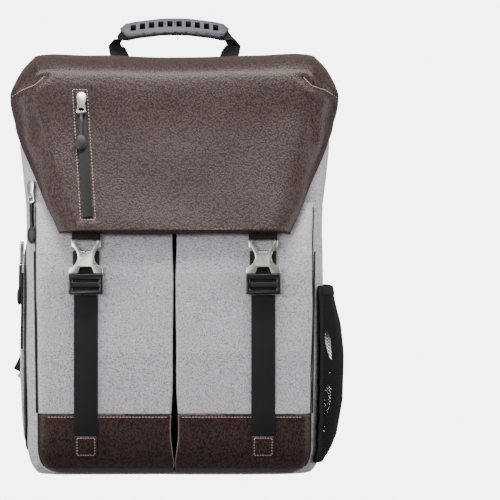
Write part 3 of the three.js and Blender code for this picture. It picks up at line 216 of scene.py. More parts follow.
def heather_paint(place):
    across = cloudy(place, 460.0, 3.0, (1, 1, 4.5))
    upward = cloudy(place, 460.0, 3.0, (4.5, 4.5, 1))
    threads = (across + upward) * 0.5
    tint = cloudy(place, 700.0)
    x, y, z = axes(place)
    weave = wave(x + y, 900.0) * wave(z, 900.0)
    light = mix((0.36, 0.353, 0.386, 1), (0.386, 0.353, 0.373, 1), tint.between(0.4, 0.6))
    return {
        "Base Color": mix((0.12, 0.114, 0.132, 1), light, threads.between(0.4, 0.55)),
        "Roughness": 0.9,
        "height": weave * 0.00006 + threads * 0.00012,
    }


def webbing_paint(place):
    x, y, z = axes(place)
    ribs = wave(x + y + z, 420.0) * 0.6 + wave(x + y - z, 420.0) * 0.4
    wear = cloudy(place, 900.0)
    return {
        # The colour follows the ribs, darker in their hollows and lighter on their crests: painted shade and
        # sheen. The wear noise is the webbing's own uneven tone.
        "Base Color": mix((0.002, 0.002, 0.0023, 1), (0.015, 0.0142, 0.0165, 1), ribs * 0.6 + wear * 0.4),
        "Roughness": 0.7,
        "Specular IOR Level": 0.1,
        "height": ribs * 0.00015,
    }


def mesh_paint(place):
    cells = {"Vector": place, "Scale": 330.0, "Randomness": 0.25}
    holes = place.node("TexVoronoi", None, cells).between(0.12, 0.5)
    return {
        # The holes are painted nearly black: painted shade inside them.
        "Base Color": mix((0.002, 0.002, 0.002, 1), (0.024, 0.0235, 0.025, 1), holes),
        "Roughness": 0.85,
        "Specular IOR Level": 0.15,
        "height": holes * 0.0005,
    }


def lining_paint(place):
    colour = mix(grey(0.006), grey(0.014), cloudy(place, 800.0))
    return {"Base Color": colour, "Roughness": 0.9, "Specular IOR Level": 0.1}


leather = material("leather", leather_paint)
cut_edge = material("cut_edge", cut_edge_paint)
heather = material("heather", heather_paint)
webbing = material("webbing", webbing_paint)
spacer_mesh = material("spacer_mesh", mesh_paint)
lining = material("lining", lining_paint)

# %% [markdown]
# ## Hard finishes
# Cast buckles are satin nickel, worn a little unevenly. Plastic, rubber and the coated tape of the zips are
# all near black, and what tells them apart is how sharply they shine.

# %% Metal, plastic, rubber, tape and thread
def nickel_paint(place):
    worn = cloudy(place, 260.0)
    return {
        "Base Color": mix((0.3, 0.288, 0.25, 1), (0.45, 0.44, 0.39, 1), worn),
        "Metallic": 1.0,
        "Roughness": worn * 0.14 + 0.24,
    }


def plastic_paint(place):
    colour = mix(grey(0.0015), grey(0.003), cloudy(place, 300.0))
    return {"Base Color": colour, "Roughness": 0.3, "Specular IOR Level": 0.3}


def rubber_paint(place):
    dust = cloudy(place, 500.0)
    colour = mix(grey(0.006), grey(0.011), dust)
    return {"Base Color": colour, "Roughness": 0.5, "Specular IOR Level": 0.25, "height": dust * 0.00004}


def grip_paint(place):
    dust = cloudy(place, 500.0)
    return {
        "Base Color": mix((0.03, 0.0285, 0.036, 1), (0.046, 0.043, 0.053, 1), dust),
        "Roughness": 0.55,
        "Specular IOR Level": 0.25,
        "height": dust * 0.00004,
    }


def tape_paint(place):
    colour = mix(grey(0.006), grey(0.011), cloudy(place, 350.0))
    return {"Base Color": colour, "Roughness": 0.5, "Specular IOR Level": 0.2}


def thread_paint(light, dark):
    fuzz = {"Roughness": 0.8, "Specular IOR Level": 0.15}
    return lambda place: {"Base Color": mix(dark, light, cloudy(place, 1200.0)), **fuzz}


nickel = material("nickel", nickel_paint)
plastic = material("plastic", plastic_paint)
rubber = material("rubber", rubber_paint)
grip_rubber = material("grip_rubber", grip_paint)
tape = material("tape", tape_paint)
tan_thread = material("tan_thread", thread_paint((0.42, 0.3, 0.27, 1), (0.2, 0.12, 0.1, 1)))
cord_black = material("cord_black", thread_paint(grey(0.02), grey(0.006)))

# %% [markdown]
# ## Tools that turn a solid into a soft piece
# The frame gives each solid as plain triangles. `softened` copies one, merges its points, joins the triangles
# into four-sided faces, slices large faces into even ones when asked and lets the Subdivision modifier round
# it. Edges sharper than a limit are creased first, so that a wall keeps its rim. Rounding pulls a form in at
# its corners, so on a piece that is not sliced the coarse points are moved out three times, which brings the
# rounded skin close to the solid's own points. `reshaped` then moves each point by a small function, which
# is how folds and pressed-in seams are made. `hardened` is the plain way for metal, plastic and webbing: it
# only rounds the edges with a bevel.

# %% Copying and softening
def object_from(bm, name, finish, ride="root"):
    """A finished piece from a bmesh: at the origin, smooth, with its finish, moving with the bag."""
    bmesh.ops.recalc_face_normals(bm, faces=bm.faces)
    mesh = bpy.data.meshes.new(name)
    bm.to_mesh(mesh)
    bm.free()
    mesh.materials.append(finish)
    mesh.shade_smooth()
    piece = bpy.data.objects.new(name, mesh)
    bpy.context.scene.collection.objects.link(piece)
    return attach(piece, ride)


def merged(node):
    """A bmesh of a CAD node, its points merged and its triangles joined where they are nearly flat."""
    bm = bmesh.new()
    bm.from_mesh(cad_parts[node].data)
    bmesh.ops.remove_doubles(bm, verts=bm.verts, dist=1e-5)
    bmesh.ops.join_triangles(
        bm, faces=bm.faces, angle_face_threshold=math.radians(35), angle_shape_threshold=math.radians(80)
    )
    return bm


def sliced(bm, step):
    """Cuts a bmesh along even planes in all three directions, so that no face is longer than step."""
    points = np.array([v.co for v in bm.verts])
    for axis in range(3):
        normal = [0.0, 0.0, 0.0]
        normal[axis] = 1.0
        low, high = points[:, axis].min(), points[:, axis].max()
        count = int((high - low) / step)
        for i in range(1, count):
            place = [0.0, 0.0, 0.0]
            place[axis] = low + (high - low) * i / count
            everything = bm.verts[:] + bm.edges[:] + bm.faces[:]
            bmesh.ops.bisect_plane(bm, geom=everything, dist=1e-4, plane_co=place, plane_no=normal)


def creased(bm, degrees):
    """Marks the edges that bend more than a limit, so that subdivision keeps them."""
    layer = bm.edges.layers.float.get("crease_edge") or bm.edges.layers.float.new("crease_edge")
    for edge in bm.edges:
        if len(edge.link_faces) == 2 and edge.calc_face_angle(0) > math.radians(degrees):
            edge[layer] = 1.0


def places_in(mesh):
    flat = np.empty(len(mesh.vertices) * 3, np.float32)
    mesh.vertices.foreach_get("co", flat)
    return flat.reshape(-1, 3)


def applied(piece):
    """Turns a piece's modifiers into its mesh."""
    graph = bpy.context.evaluated_depsgraph_get()
    mesh = bpy.data.meshes.new_from_object(piece.evaluated_get(graph))
    piece.modifiers.clear()
    old, piece.data = piece.data, mesh
    bpy.data.meshes.remove(old)
    return piece


def softened(node, finish, levels=2, step=None, sharp=50):
    """A rounded copy of a CAD node that stands for it; unless it is sliced, it is fitted to the solid's own
    points.
    """
    bm = merged(node)
    bmesh.ops.recalc_face_normals(bm, faces=bm.faces)
    if step:
        sliced(bm, step)
    creased(bm, sharp)
    piece = object_from(bm, node + "_soft", finish)
    rounding = piece.modifiers.new("rounding", "SUBSURF")
    rounding.levels = rounding.render_levels = levels
    wanted = places_in(piece.data)
    placed = wanted.copy()
    for _ in range(0 if step else 3):
        graph = bpy.context.evaluated_depsgraph_get()
        rounded = places_in(piece.evaluated_get(graph).data)[: len(wanted)]
        miss = np.abs(wanted - rounded).max() * 1000
        placed += wanted - rounded
        piece.data.vertices.foreach_set("co", placed.ravel())
        piece.data.update()
    if not step:
        print(f"{node} missed its solid's points by {miss:.2f} mm before the last fit")
    applied(piece)
    piece.data.shade_smooth()
    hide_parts(node)
    return piece


def hardened(node, finish, width, segments=2):
    """A copy of a CAD node with its edges rounded by a bevel, for metal, plastic and webbing."""
    bm = bmesh.new()
    bm.from_mesh(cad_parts[node].data)
    bmesh.ops.remove_doubles(bm, verts=bm.verts, dist=1e-5)
    bmesh.ops.dissolve_limit(bm, angle_limit=math.radians(3), verts=bm.verts, edges=bm.edges)
    edges = [e for e in bm.edges if len(e.link_faces) == 2 and e.calc_face_angle(0) > math.radians(38)]
    bmesh.ops.bevel(
        bm, geom=edges, offset=width, offset_type="OFFSET", segments=segments, profile=0.5, affect="EDGES",
        clamp_overlap=True, material=-1,
    )
    piece = object_from(bm, node + "_made", finish)
    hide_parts(node)
    return piece


# %% [markdown]
# ## Moving the points of a piece
# Moving points along their normals keeps a wall's two sides apart and needs no modifier. Arrays of numbers do
# it for a whole piece at once, which is much faster than a loop over its points.

# %% Seams and waves
def points_of(piece):
    normals = np.empty(len(piece.data.vertices) * 3, np.float32)
    piece.data.vertex_normals.foreach_get("vector", normals)
    return places_in(piece.data), normals.reshape(-1, 3)


def reshaped(piece, height):
    """Moves each point of a piece along its normal by height(points, normals), in metres."""
    points, normals = points_of(piece)
    moved = points + normals * height(points, normals)[:, None]
    piece.data.vertices.foreach_set("co", moved.astype(np.float32).ravel())
    piece.data.update()
    return piece


def distance_to(points, line):
    """How far each point is from a line of places."""
    nearest = np.full(len(points), 1e9)
    places = np.array([list(p) for p in line], float)
    for a, b in zip(places[:-1], places[1:]):
        along = b - a
        share = np.clip(((points - a) @ along) / max(along @ along, 1e-12), 0, 1)
        gap = np.linalg.norm(points - a - share[:, None] * along, axis=1)
        nearest = np.minimum(nearest, gap)
    return nearest


def groove(points, line, depth, width):
    """A pressed-in seam along a line, with the padding beside it left a little proud."""
    gap = distance_to(points, line)
    pressed = -depth * np.exp(-((gap / width) ** 2))
    proud = 0.25 * depth * np.exp(-(((gap - 3 * width) / (1.5 * width)) ** 2))
    return pressed + proud


def folds(points, size, strength, seed=0):
    """Gentle uneven waves, size metres across, for cloth and padding."""
    return np.array([noise.noise(Vector(p) / size + Vector((seed, 0, 0))) for p in points]) * strength


# %% [markdown]
# ## Lines on a surface: stitches, cords and piping
# A seam follows the bag's shape, so its line is drawn roughly and then dropped onto the finished piece by
# casting rays. `stitches` sets a tiny block at each step of such a line. `tube` sweeps a ring along a line:
# a grid from bmesh is rolled up, its one side running round the cord and the other along it.

# %% Rays, rows and tubes
def tree_of(piece):
    graph = bpy.context.evaluated_depsgraph_get()
    return BVHTree.FromObject(piece, graph)


def stepped(corners, step):
    """A line through corners with its places an even step apart."""
    corners = [Vector(c) for c in corners]
    lengths = [0.0]
    for a, b in zip(corners[:-1], corners[1:]):
        lengths.append(lengths[-1] + (b - a).length)
    count = max(1, round(lengths[-1] / step))
    places = []
    for i in range(count + 1):
        at = lengths[-1] * i / count
        k = min(len(corners) - 2, max(0, int(np.searchsorted(lengths, at, "right")) - 1))
        stretch = lengths[k + 1] - lengths[k]
        places.append(corners[k].lerp(corners[k + 1], (at - lengths[k]) / max(stretch, 1e-9)))
    return places


def dropped(corners, target, toward, step=0.003, reach=0.3):
    """The line moved along a direction until it lies on the target: places with the surface's normals."""
    toward = Vector(toward).normalized()
    tree = target if isinstance(target, BVHTree) else tree_of(target)
    found = []
    for place in stepped(corners, step):
        spot, normal, _, _ = tree.ray_cast(place - toward * reach, toward, 2 * reach)
        if spot:
            found.append((spot, normal if normal.dot(toward) < 0 else -normal))
    return found


def rows_of(name, lines, finish, length, width, height):
    """Small blocks along lines of places and normals, in one mesh: stitches or the teeth of a zip."""
    bm = bmesh.new()
    for line in lines:
        for (a, up), (b, _) in zip(line[:-1], line[1:]):
            along = (b - a).normalized()
            side = up.cross(along).normalized()
            turn = Matrix((along, side, along.cross(side))).transposed().to_4x4()
            size = Matrix.Diagonal((length, width, height, 1))
            place = (a + b) / 2
            bmesh.ops.create_cube(bm, size=1, matrix=Matrix.Translation(place) @ turn @ size)
    return object_from(bm, name, finish)


def rolled(name, path, ring, finish, closed=False):
    """A grid rolled into a skin round a path of (place, side, up), its outline given by ring."""
    bm = bmesh.new()
    around, along = len(ring), len(path)
    bmesh.ops.create_grid(bm, x_segments=around, y_segments=along - 1, size=0.5)
    for v in bm.verts:
        i, j = round((v.co.x + 0.5) * around), round((v.co.y + 0.5) * (along - 1))
        place, side, up = path[j]
        a, b = ring[i % around]
        v.co = place + side * a + up * b
    bmesh.ops.remove_doubles(bm, verts=bm.verts, dist=2e-6)
    if not closed:
        bmesh.ops.holes_fill(bm, edges=bm.edges, sides=around)
    return object_from(bm, name, finish)


def framed(line, up=(0, 0, 1), closed=False):
    """The places of a line with the way across and out at each, kept square to the line."""
    places = [Vector(p) for p in line]
    out = []
    for i, place in enumerate(places):
        before = places[i - 1] if closed or i > 0 else place
        after = places[(i + 1) % len(places)] if closed or i + 1 < len(places) else place
        along = (after - before).normalized()
        lifted = Vector(up[i] if hasattr(up[0], "__len__") else up)
        side = along.cross(lifted).normalized()
        out.append((place, side, side.cross(along)))
    return out


def circle(radius, count=8, flat=1.0):
    turns = [i * math.tau / count for i in range(count)]
    return [(radius * math.cos(turn), radius * flat * math.sin(turn)) for turn in turns]


def tube(name, line, radius, finish, up=(0, 0, 1), count=8, flat=1.0, closed=False):
    """A cord or piping along a line."""
    path = framed(line, up, closed)
    if closed:
        path.append(path[0])
    return rolled(name, path, circle(radius, count, flat), finish, closed)


def rims(node, degrees=50, shortest=0.0055):
    """The lines of sharp edges round a CAD node, the longest first, without a wall's short corner edges."""
    bm = merged(node)
    sharp = {
        e
        for e in bm.edges
        if len(e.link_faces) == 2
        and e.calc_face_angle(0) > math.radians(degrees)
        and e.calc_length() > shortest
    }
    lines = []
    while sharp:
        edge = min(sharp, key=lambda e: e.index)
        sharp.discard(edge)
        line = list(edge.verts)
        while True:
            onward = [e for e in line[-1].link_edges if e in sharp]
            if not onward:
                break
            before = (line[-1].co - line[-2].co).normalized()
            straight = lambda e: (e.other_vert(line[-1]).co - line[-1].co).normalized().dot(before)
            edge = max(onward, key=straight)
            sharp.discard(edge)
            line.append(edge.other_vert(line[-1]))
        lines.append([v.co.copy() for v in line])
    bm.free()
    return sorted(lines, key=lambda line: -sum((a - b).length for a, b in zip(line[:-1], line[1:])))


# %% [markdown]
# ## The bag
# The body is a padded cloth box, open under the flap. On a real bag its walls are foam between two cloths,
# so the form is full and the folds are shallow. A cloth simulation would do this too, but the wall is thin,
# and a softened copy with low waves keeps it hollow and true.

# %% Body and pockets
body = softened("main_body", heather, levels=2, step=0.022)
reshaped(body, lambda p, n: folds(p, 0.09, 0.0016) + folds(p, 0.03, 0.0005, 7))

pockets = {}
feet = {}
for side in ("left", "right"):
    pocket = softened(f"front_pocket_{side}", heather, levels=2, step=0.013)
    pockets[side] = reshaped(pocket, lambda p, n: folds(p, 0.07, 0.0012, 3) + folds(p, 0.025, 0.0003, 5))
    feet[side] = softened(f"leather_foot_{side}", leather, levels=2, step=0.011)
softened("pleat_liner", lining, levels=1)
print("body points", len(body.data.vertices), "pocket points", len(pocket.data.vertices))

# %% [markdown]
# ## The leather flap
# The flap is one padded hide: it rises over the top, and its corners are gathered by a dart, a short seam
# that turns flat leather into a corner. The dart is pressed in first and then sewn with light thread.

# %% Flap
def ease(values, low, high):
    """0 below low, 1 above high, smooth between them."""
    share = np.clip((values - low) / (high - low), 0, 1)
    return share * share * (3 - 2 * share)


HEM_SLOPE = 0.52


def nearer_photo(points):
    """Moves places of the flap a few millimetres: its crown and hem a little up, its sides a little in."""
    x, y, z = (points[:, k].astype(float) for k in range(3))
    side = np.abs(x)
    levels = [0.25, 0.279, 0.335, 0.358, 0.3775, 0.394, 0.41]
    narrow = np.interp(z, levels, [0.99, 0.985, 0.976, 0.968, 0.967, 0.984, 1.0]) - 1
    corner = ease(side, 0.09, 0.14) * (1 - ease(side, 0.15, 0.178))
    crown = (0.0025 + 0.0038 * corner) * ease(z, 0.42, 0.446)
    hem = 0.0042 * (1 - ease(z, 0.262, 0.29))
    forward = 0.005 * np.exp(-(((z - 0.36) / 0.03) ** 2)) * ease(side, 0.15, 0.168)
    inward = x * (1 + narrow * ease(side, 0.11, 0.15))
    return np.stack([inward, y + HEM_SLOPE * hem - forward, z + crown + hem], axis=1)


flap = softened("flap", leather, levels=3, sharp=60)
moved = nearer_photo(places_in(flap.data))
flap.data.vertices.foreach_set("co", moved.astype(np.float32).ravel())
flap.data.update()
print("flap points", len(flap.data.vertices))

# %% [markdown]
# ## Darts and the zip's slot
# Each dart is given by four corners read off the photo and dropped onto the flap by casting rays. The zip
# lies in a slot of the hide, so the leather dips a little along both of its edges. Both lines are pressed in
# together with the low waves, because each push starts from the flap's own normals.

# %% Pressed-in seams
# The darts' corners: pixels across and down in the photo, and the depth in metres.
DART_CORNERS = (
    ((9, 97, -0.02), (22, 89, -0.03), (34, 83, -0.05), (44, 75.8, -0.03)),
    ((338, 97, -0.02), (325, 89, -0.03), (313, 84, -0.05), (304, 77, -0.03)),
)
darts = [[from_photo(*corner) for corner in corners] for corners in DART_CORNERS]
dart_lines = [[spot for spot, _ in dropped(dart, flap, (0, 1, 0), 0.004)] for dart in darts]


# The zip's middle from its foot to its top, and how far from it the slot's edge and the stitches run.
ZIP_HEIGHTS = (0.274, 0.411)
ZIP_MIDDLES = (-0.091, -0.102)
ZIP_SLOT = 0.0058
ZIP_SEAM = 0.0078


def beside_zip(across, high=0.4125, low=0.2722):
    """The line beside the flap's zip, a distance to the right of its middle."""
    heights = np.linspace(high, low, 12)
    return [Vector((float(np.interp(z, ZIP_HEIGHTS, ZIP_MIDDLES)) + across, -0.2, z)) for z in heights]


slot_lines = []
for across in (-ZIP_SLOT, ZIP_SLOT):
    slot_lines.append([spot for spot, _ in dropped(beside_zip(across), flap, (0, 1, 0), 0.004)])
reshaped(
    flap,
    lambda p, n: folds(p, 0.06, 0.0011, 11)
    + sum(groove(p, line, 0.0022, 0.0032) for line in dart_lines if len(line) > 1)
    + sum(groove(p, line, 0.0009, 0.0026) for line in slot_lines),
)
print("dart points", [len(line) for line in dart_lines])

# %% [markdown]
# ## Webbing, tabs and loops
# Polyester webbing is woven flat, with a firm edge. A small bevel rounds that edge, and the twill comes from
# the finish.

# %% Straps
WEBBING_EDGE = 0.0005

for side in ("left", "right"):
    for node in ("front_strap", "flap_loop", "lower_webbing", "webbing_tail"):
        hardened(f"{node}_{side}", webbing, WEBBING_EDGE)
    hardened(f"strap_tab_{side}", leather, 0.0007)
    softened(f"strap_anchor_{side}", heather, levels=1, sharp=40)
hardened("side_pocket_band", webbing, WEBBING_EDGE)
hardened("back_band", webbing, WEBBING_EDGE)
hardened("handle_webbing", webbing, WEBBING_EDGE)

# %% [markdown]
# ## Buckles, sliders and the grip
# Cast and moulded parts have small, even roundings that catch the light. A bevel on every sharp edge gives
# them.

# %% Hard parts
for side in ("left", "right"):
    hardened(f"buckle_metal_{side}", nickel, 0.0009, segments=3)
    hardened(f"buckle_plastic_{side}", plastic, 0.0006)
    hardened(f"strap_adjuster_{side}", plastic, 0.0007)
for node in ("flap_zip_slider", "pocket_zip_slider", "side_door_front_slider", "side_door_back_slider"):
    hardened(node, nickel, 0.0005)
for node in ("flap_zip_pull", "pocket_zip_pull", "side_door_front_pull", "side_door_back_pull"):
    softened(node, rubber, levels=2, sharp=60)
hardened("handle_grip", grip_rubber, 0.0012, segments=3)

# %% [markdown]
# ## Webbing in the buckles and dots in the grip
# A strap runs through the bars of its ladder, and a dark slab behind the front edges of the bars stands for
# it. The grip has two rows of small oval dimples, above and below its slots. They are flattened spheres set
# into the rubber.

# %% Threaded webbing and dimples
# Two slabs behind each ladder's bars: height and length up the strap, depth behind the bars, thickness.
SLABS = ((0.0095, 0.0165, 0.0026, 0.0012), (0.0098, 0.0042, 0.0006, 0.0026))
SLAB_WIDTH = 0.0272
DIMPLE = (0.0017, 0.0011, 0.0003)

for side in ("left", "right"):
    ladder = bpy.data.objects[f"buckle_plastic_{side}_made"]
    ladder_tree = tree_of(ladder)
    low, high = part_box(f"buckle_plastic_{side}")
    middle = (low.x + high.x) / 2
    edge_x = low.x + 0.0015
    foot, _, _, _ = ladder_tree.ray_cast(Vector((edge_x, -0.3, low.z + 0.003)), Vector((0, 1, 0)))
    head, _, _, _ = ladder_tree.ray_cast(Vector((edge_x, -0.3, low.z + 0.017)), Vector((0, 1, 0)))
    upward = (head - foot).normalized()
    outward = Vector((1, 0, 0)).cross(upward)
    bm = bmesh.new()
    for height, length, depth, thickness in SLABS:
        centre = foot + upward * (height - 0.003) - outward * depth
        centre.x = middle
        turn = Matrix((Vector((1, 0, 0)), -outward, upward)).transposed().to_4x4()
        size = Matrix.Diagonal((SLAB_WIDTH, thickness, length, 1))
        bmesh.ops.create_cube(bm, size=1, matrix=Matrix.Translation(centre) @ turn @ size)
    bmesh.ops.bevel(
        bm, geom=bm.edges[:], offset=0.0005, offset_type="OFFSET", segments=2, profile=0.5, affect="EDGES",
        clamp_overlap=True, material=-1,
    )
    object_from(bm, f"threaded_webbing_{side}", webbing)

grip_tree = tree_of(bpy.data.objects["handle_grip_made"])
bm = bmesh.new()
for px in np.linspace(143.5, 207.0, 7):
    slot_y = 26.0 + 3.2 * ((px - 175.3) / 49) ** 2
    for py in (slot_y - 4.4, slot_y + 5.6):
        aim = from_photo(px, py, 0.08)
        spot, normal, _, _ = grip_tree.ray_cast(Vector((aim.x, -0.2, aim.z)), Vector((0, 1, 0)))
        if spot:
            turn = normal.to_track_quat("Z", "Y").to_matrix().to_4x4()
            size = Matrix.Diagonal((*DIMPLE, 1))
            matrix = Matrix.Translation(spot) @ turn @ size
            bmesh.ops.create_uvsphere(bm, u_segments=10, v_segments=6, radius=1, matrix=matrix)
object_from(bm, "grip_dimples", rubber)

# %% [markdown]
# ## Zip tapes
# The tape of a coated zip is flat and hides its teeth. Each tape is one thin solid, and a very small bevel
# is enough to keep its edge from looking like cut card.

# %% Zips
for node in ("flap_zip_tape", "pocket_zip_left", "pocket_zip_right", "side_door_zip", "back_door_zip"):
    hardened(node, tape, 0.0004)

# %% [markdown]
# ## Doors, pads and shoulder straps
# The back is padded: foam under black spacer mesh, thickest in its middle. The doors are thin padded cloth.

# %% Padded pieces
for node, finish in (
    ("side_door", heather),
    ("back_door", heather),
    ("back_pad_left", spacer_mesh),
    ("back_pad_right", spacer_mesh),
    ("lumbar_pad_left", spacer_mesh),
    ("lumbar_pad_right", spacer_mesh),
    ("shoulder_strap_left", spacer_mesh),
    ("shoulder_strap_right", spacer_mesh),
):
    softened(node, finish, levels=2, sharp=60)

# %% [markdown]
# ## The net pocket
# A net is mostly air, so it is built of real threads. A flat grid is turned by 45 degrees to make diamonds,
# cut to a rectangle and wrapped onto the pocket's surface, which is measured here by casting rays at 41
# heights. A flat binding, a flattened tube, covers its front and back ends where it is sewn on.

# %% The net's surface
net_low, net_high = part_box("side_pocket_net")
net_tree = tree_of(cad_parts["side_pocket_net"])


def net_profile(z, count=60):
    """The places round the outside of the net at a height, from its front to its back, an even step apart."""
    spots = []
    for i in range(count + 1):
        share = 0.5 - 0.5 * math.cos(math.pi * i / count)
        y = net_low.y + (net_high.y - net_low.y) * (0.002 + 0.996 * share)
        spot, _, _, _ = net_tree.ray_cast(Vector((0.3, y, z)), Vector((-1, 0, 0)))
        if spot:
            spots.append(spot)
    return spots


NET_PITCH = (0.0042, 0.0034)
NET_THREAD = 0.0021
NET_BINDING = 0.0048
net_rows, net_columns = 40, 40


def evened(line, count):
    """A line again, with count even steps."""
    places = np.array([list(p) for p in line])
    lengths = np.concatenate([[0], np.cumsum(np.linalg.norm(np.diff(places, axis=0), axis=1))])
    at = np.linspace(0, lengths[-1], count + 1)
    return [Vector(p) for p in np.stack([np.interp(at, lengths, places[:, k]) for k in range(3)], axis=1)]


profiles = []
for i in range(net_rows + 1):
    z = net_low.z + 0.001 + (net_high.z - net_low.z - 0.002) * i / net_rows
    profiles.append(evened(net_profile(z), net_columns))
net_middle = profiles[net_rows // 2]
net_across = sum((a - b).length for a, b in zip(net_middle[:-1], net_middle[1:]))
net_upward = net_high.z - net_low.z


def on_net(u, v):
    """The place on the net at shares u along it and v up it."""
    at_u = min(max(u, 0), 1) * net_columns
    at_v = min(max(v, 0), 1) * net_rows
    i, j = min(int(at_v), net_rows - 1), min(int(at_u), net_columns - 1)
    low = profiles[i][j].lerp(profiles[i][j + 1], at_u - j)
    high = profiles[i + 1][j].lerp(profiles[i + 1][j + 1], at_u - j)
    return low.lerp(high, at_v - i)


# %% [markdown]
# ## The net's threads
# The grid is made flat, because cutting it to a rectangle is easy there, and only then laid on the pocket.
# Threads from the Wireframe modifier are real geometry, so light and the view pass between them.

# %% Threads and bindings
bm = bmesh.new()
diamonds = math.ceil((net_across / NET_PITCH[0] + net_upward / NET_PITCH[1]) / 2) * 2
bmesh.ops.create_grid(bm, x_segments=diamonds, y_segments=diamonds, size=diamonds / 2)
for v in bm.verts:
    v.co = Vector(((v.co.x + v.co.y) * NET_PITCH[0] / 2, (v.co.y - v.co.x) * NET_PITCH[1] / 2, 0))
for place, normal in (
    ((net_across / 2, 0, 0), (1, 0, 0)),
    ((-net_across / 2, 0, 0), (-1, 0, 0)),
    ((0, net_upward / 2, 0), (0, 1, 0)),
    ((0, -net_upward / 2, 0), (0, -1, 0)),
):
    everything = bm.verts[:] + bm.edges[:] + bm.faces[:]
    bmesh.ops.bisect_plane(
        bm, geom=everything, dist=1e-6, plane_co=place, plane_no=normal, clear_outer=True
    )
for v in bm.verts:
    v.co = on_net(v.co.x / net_across + 0.5, v.co.y / net_upward + 0.5)
print("net faces", len(bm.faces))
net = object_from(bm, "net", cord_black)
for name, share, up in (("front", 0.03, (0.7, -0.7, 0)), ("back", 0.962, (0.7, 0.7, 0))):
    line = [on_net(share, v) for v in np.linspace(0.01, 0.985, 40)]
    tube(f"net_binding_{name}", line, NET_BINDING, webbing, up=up, flat=0.2)
threads = net.modifiers.new("threads", "WIREFRAME")
threads.thickness = NET_THREAD
threads.use_even_offset = False
applied(net)
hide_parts("side_pocket_net")

# %% [markdown]
# ## Stitches
# Thread gives the scale of a bag. Rows are drawn as lines, dropped onto the leather and sewn with short
# blocks, each about 2.4 mm long, or 1.9 mm on the small tabs of the straps.

# %% Stitch rows
FRONT = (0, 1, 0)
PITCH = 0.0034
STITCH = (0.0024, 0.0007, 0.0005)
TAB_PITCH = 0.0028
TAB_STITCH = (0.0019, 0.0006, 0.0005)
TAB_INSET = 0.0022
FOOT_SEAM = 0.0645
ZIP_ENDS = (0.4128, 0.272)

dart_rows = [dropped(dart, flap, FRONT, PITCH) for dart in darts]
rows_of("dart_stitches", dart_rows, tan_thread, *STITCH)
zip_rows = [dropped(beside_zip(across), flap, FRONT, PITCH) for across in (-ZIP_SEAM, ZIP_SEAM)]
for z in ZIP_ENDS:
    ends = [beside_zip(across, z, z - 0.0001)[0] for across in (-ZIP_SEAM, ZIP_SEAM)]
    zip_rows.append(dropped(ends, flap, FRONT, PITCH))
rows_of("zip_stitches", zip_rows, tan_thread, *STITCH)

for name, side in (("left", -1), ("right", 1)):
    foot_tree = tree_of(feet[name])
    front_ends = [(side * 0.0075, -0.2, FOOT_SEAM), (side * 0.1335, -0.2, FOOT_SEAM)]
    side_ends = [(side * 0.3, -0.091, FOOT_SEAM), (side * 0.3, -0.066, FOOT_SEAM)]
    front_row = dropped(front_ends, foot_tree, FRONT, PITCH)
    side_row = dropped(side_ends, foot_tree, (-side, 0, 0), PITCH)
    rows_of(f"foot_stitches_{name}", [front_row, side_row], tan_thread, *STITCH)
    low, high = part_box(f"strap_tab_{name}")
    left_x, right_x = low.x + TAB_INSET, high.x - TAB_INSET
    low_z, high_z = low.z + TAB_INSET, high.z - TAB_INSET
    border = [(left_x, high_z), (right_x, high_z), (right_x, low_z), (left_x, low_z), (left_x, high_z)]
    tab_tree = tree_of(bpy.data.objects[f"strap_tab_{name}_made"])
    tab_rows = [
        dropped([(a[0], -0.2, a[1]), (b[0], -0.2, b[1])], tab_tree, FRONT, TAB_PITCH)
        for a, b in zip(border[:-1], border[1:])
    ]
    rows_of(f"tab_stitches_{name}", tab_rows, tan_thread, *TAB_STITCH)

# %% [markdown]
# ## Piping
# Where two panels of a bag meet, the seam is often covered by a thin cord sewn in cloth. Here it runs down
# the outer sides of the pockets and round the flap, the doors and each pad. Round the flap, the doors and
# the pads its line comes from the sharp edges of the solids, and on the pockets it is found by casting rays.
# The leather beside the slit has a paler cut edge, drawn as a very thin cord.

# %% Piping and cut edges
POCKET_PIPING = 0.0011
SLIT_EDGE = 0.0006
FLAP_EDGE = 0.0009
DOOR_PIPING = 0.0012
PAD_PIPING = 0.0018

for name, side in (("left", -1), ("right", 1)):
    trees = [tree_of(pockets[name]), tree_of(feet[name])]
    line = []
    for z in np.linspace(0.285, 0.012, 70):
        tree = trees[0] if z > 0.068 else trees[1]
        face, _, _, _ = tree.ray_cast(Vector((side * 0.128, -0.3, z)), Vector(FRONT))
        if face:
            spot, _, _, _ = tree.ray_cast(Vector((side * 0.3, face.y + 0.009, z)), Vector((-side, 0, 0)))
            if spot:
                line.append(spot)
    tube(f"pocket_piping_{name}", line, POCKET_PIPING, cord_black, up=(0, 1, 0))
    edge = []
    for z in np.linspace(0.067, 0.011, 30):
        face, _, _, _ = trees[1].ray_cast(Vector((side * 0.02, -0.3, z)), Vector(FRONT))
        spot, _, _, _ = trees[1].ray_cast(Vector((0, face.y + 0.0018, z)), Vector((side, 0, 0)))
        if spot:
            edge.append(spot)
    tube(f"foot_slit_edge_{name}", edge, SLIT_EDGE, cut_edge, up=(0, 1, 0))

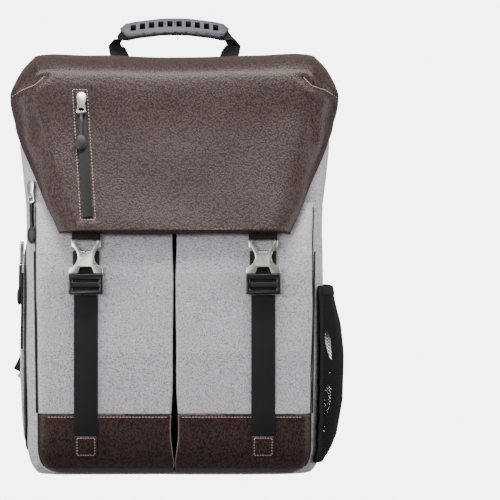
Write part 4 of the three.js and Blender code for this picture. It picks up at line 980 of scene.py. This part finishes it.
flap_rim = rims("flap")[0]
flap_rim = nearer_photo(np.array([list(p) for p in flap_rim]))
tube("flap_edge", evened(flap_rim, 300), FLAP_EDGE, leather, up=(0, 0.3, 1))

for node, finish, radius in (
    ("side_door", cord_black, DOOR_PIPING),
    ("back_door", cord_black, DOOR_PIPING),
    ("back_pad_left", webbing, PAD_PIPING),
    ("back_pad_right", webbing, PAD_PIPING),
    ("lumbar_pad_left", webbing, PAD_PIPING),
    ("lumbar_pad_right", webbing, PAD_PIPING),
):
    found = rims(node)[:2]
    rim = max(found, key=lambda line: sum(abs(p.x) if node == "side_door" else p.y for p in line) / len(line))
    outward = (-1, 0, 0) if node == "side_door" else (0, 1, 0)
    tube(f"{node}_piping", evened(rim, 160), radius, finish, up=outward)

# %% [markdown]
# ## Light
# The photo is a studio picture cut out on white, with no floor. The camera sees a bright world, while the
# bag is lit by a much weaker one: the light path node tells the two kinds of ray apart. A soft light right
# above draws the bright band along the flap's crown, two at the sides light its slanting edges and one fills
# in from the front.

# %% Studio
AMBIENT = 0.5
BACKDROP = 6.0

world = bpy.data.worlds.new("studio")
world.use_nodes = True
tree = world.node_tree
seen = add_node(tree, "LightPath")
backdrop = tree.nodes["Background"]
backdrop.inputs["Color"].default_value = (1, 1, 1, 1)
tree.links.new((seen * (BACKDROP - AMBIENT) + AMBIENT).socket, backdrop.inputs["Strength"])
bpy.context.scene.world = world


def lamp(name, place, target, size, power):
    data = bpy.data.lights.new(name, "AREA")
    data.energy = power
    data.shape = "RECTANGLE"
    data.size, data.size_y = size
    light = bpy.data.objects.new(name, data)
    light.location = place
    light.rotation_euler = (Vector(target) - Vector(place)).to_track_quat("-Z", "Y").to_euler()
    bpy.context.scene.collection.objects.link(light)


MIDDLE = (0, 0, 0.25)
lamp("top", (0, -0.38, 1.9), (0, 0, 0.4), (1.6, 0.4), 85)
lamp("front", (-1.3, -2.5, 0.9), MIDDLE, (1.2, 1.0), 60)
lamp("left", (-1.8, -0.5, 0.6), MIDDLE, (0.7, 1.6), 38)
lamp("right", (1.8, -0.5, 0.6), MIDDLE, (0.7, 1.6), 38)
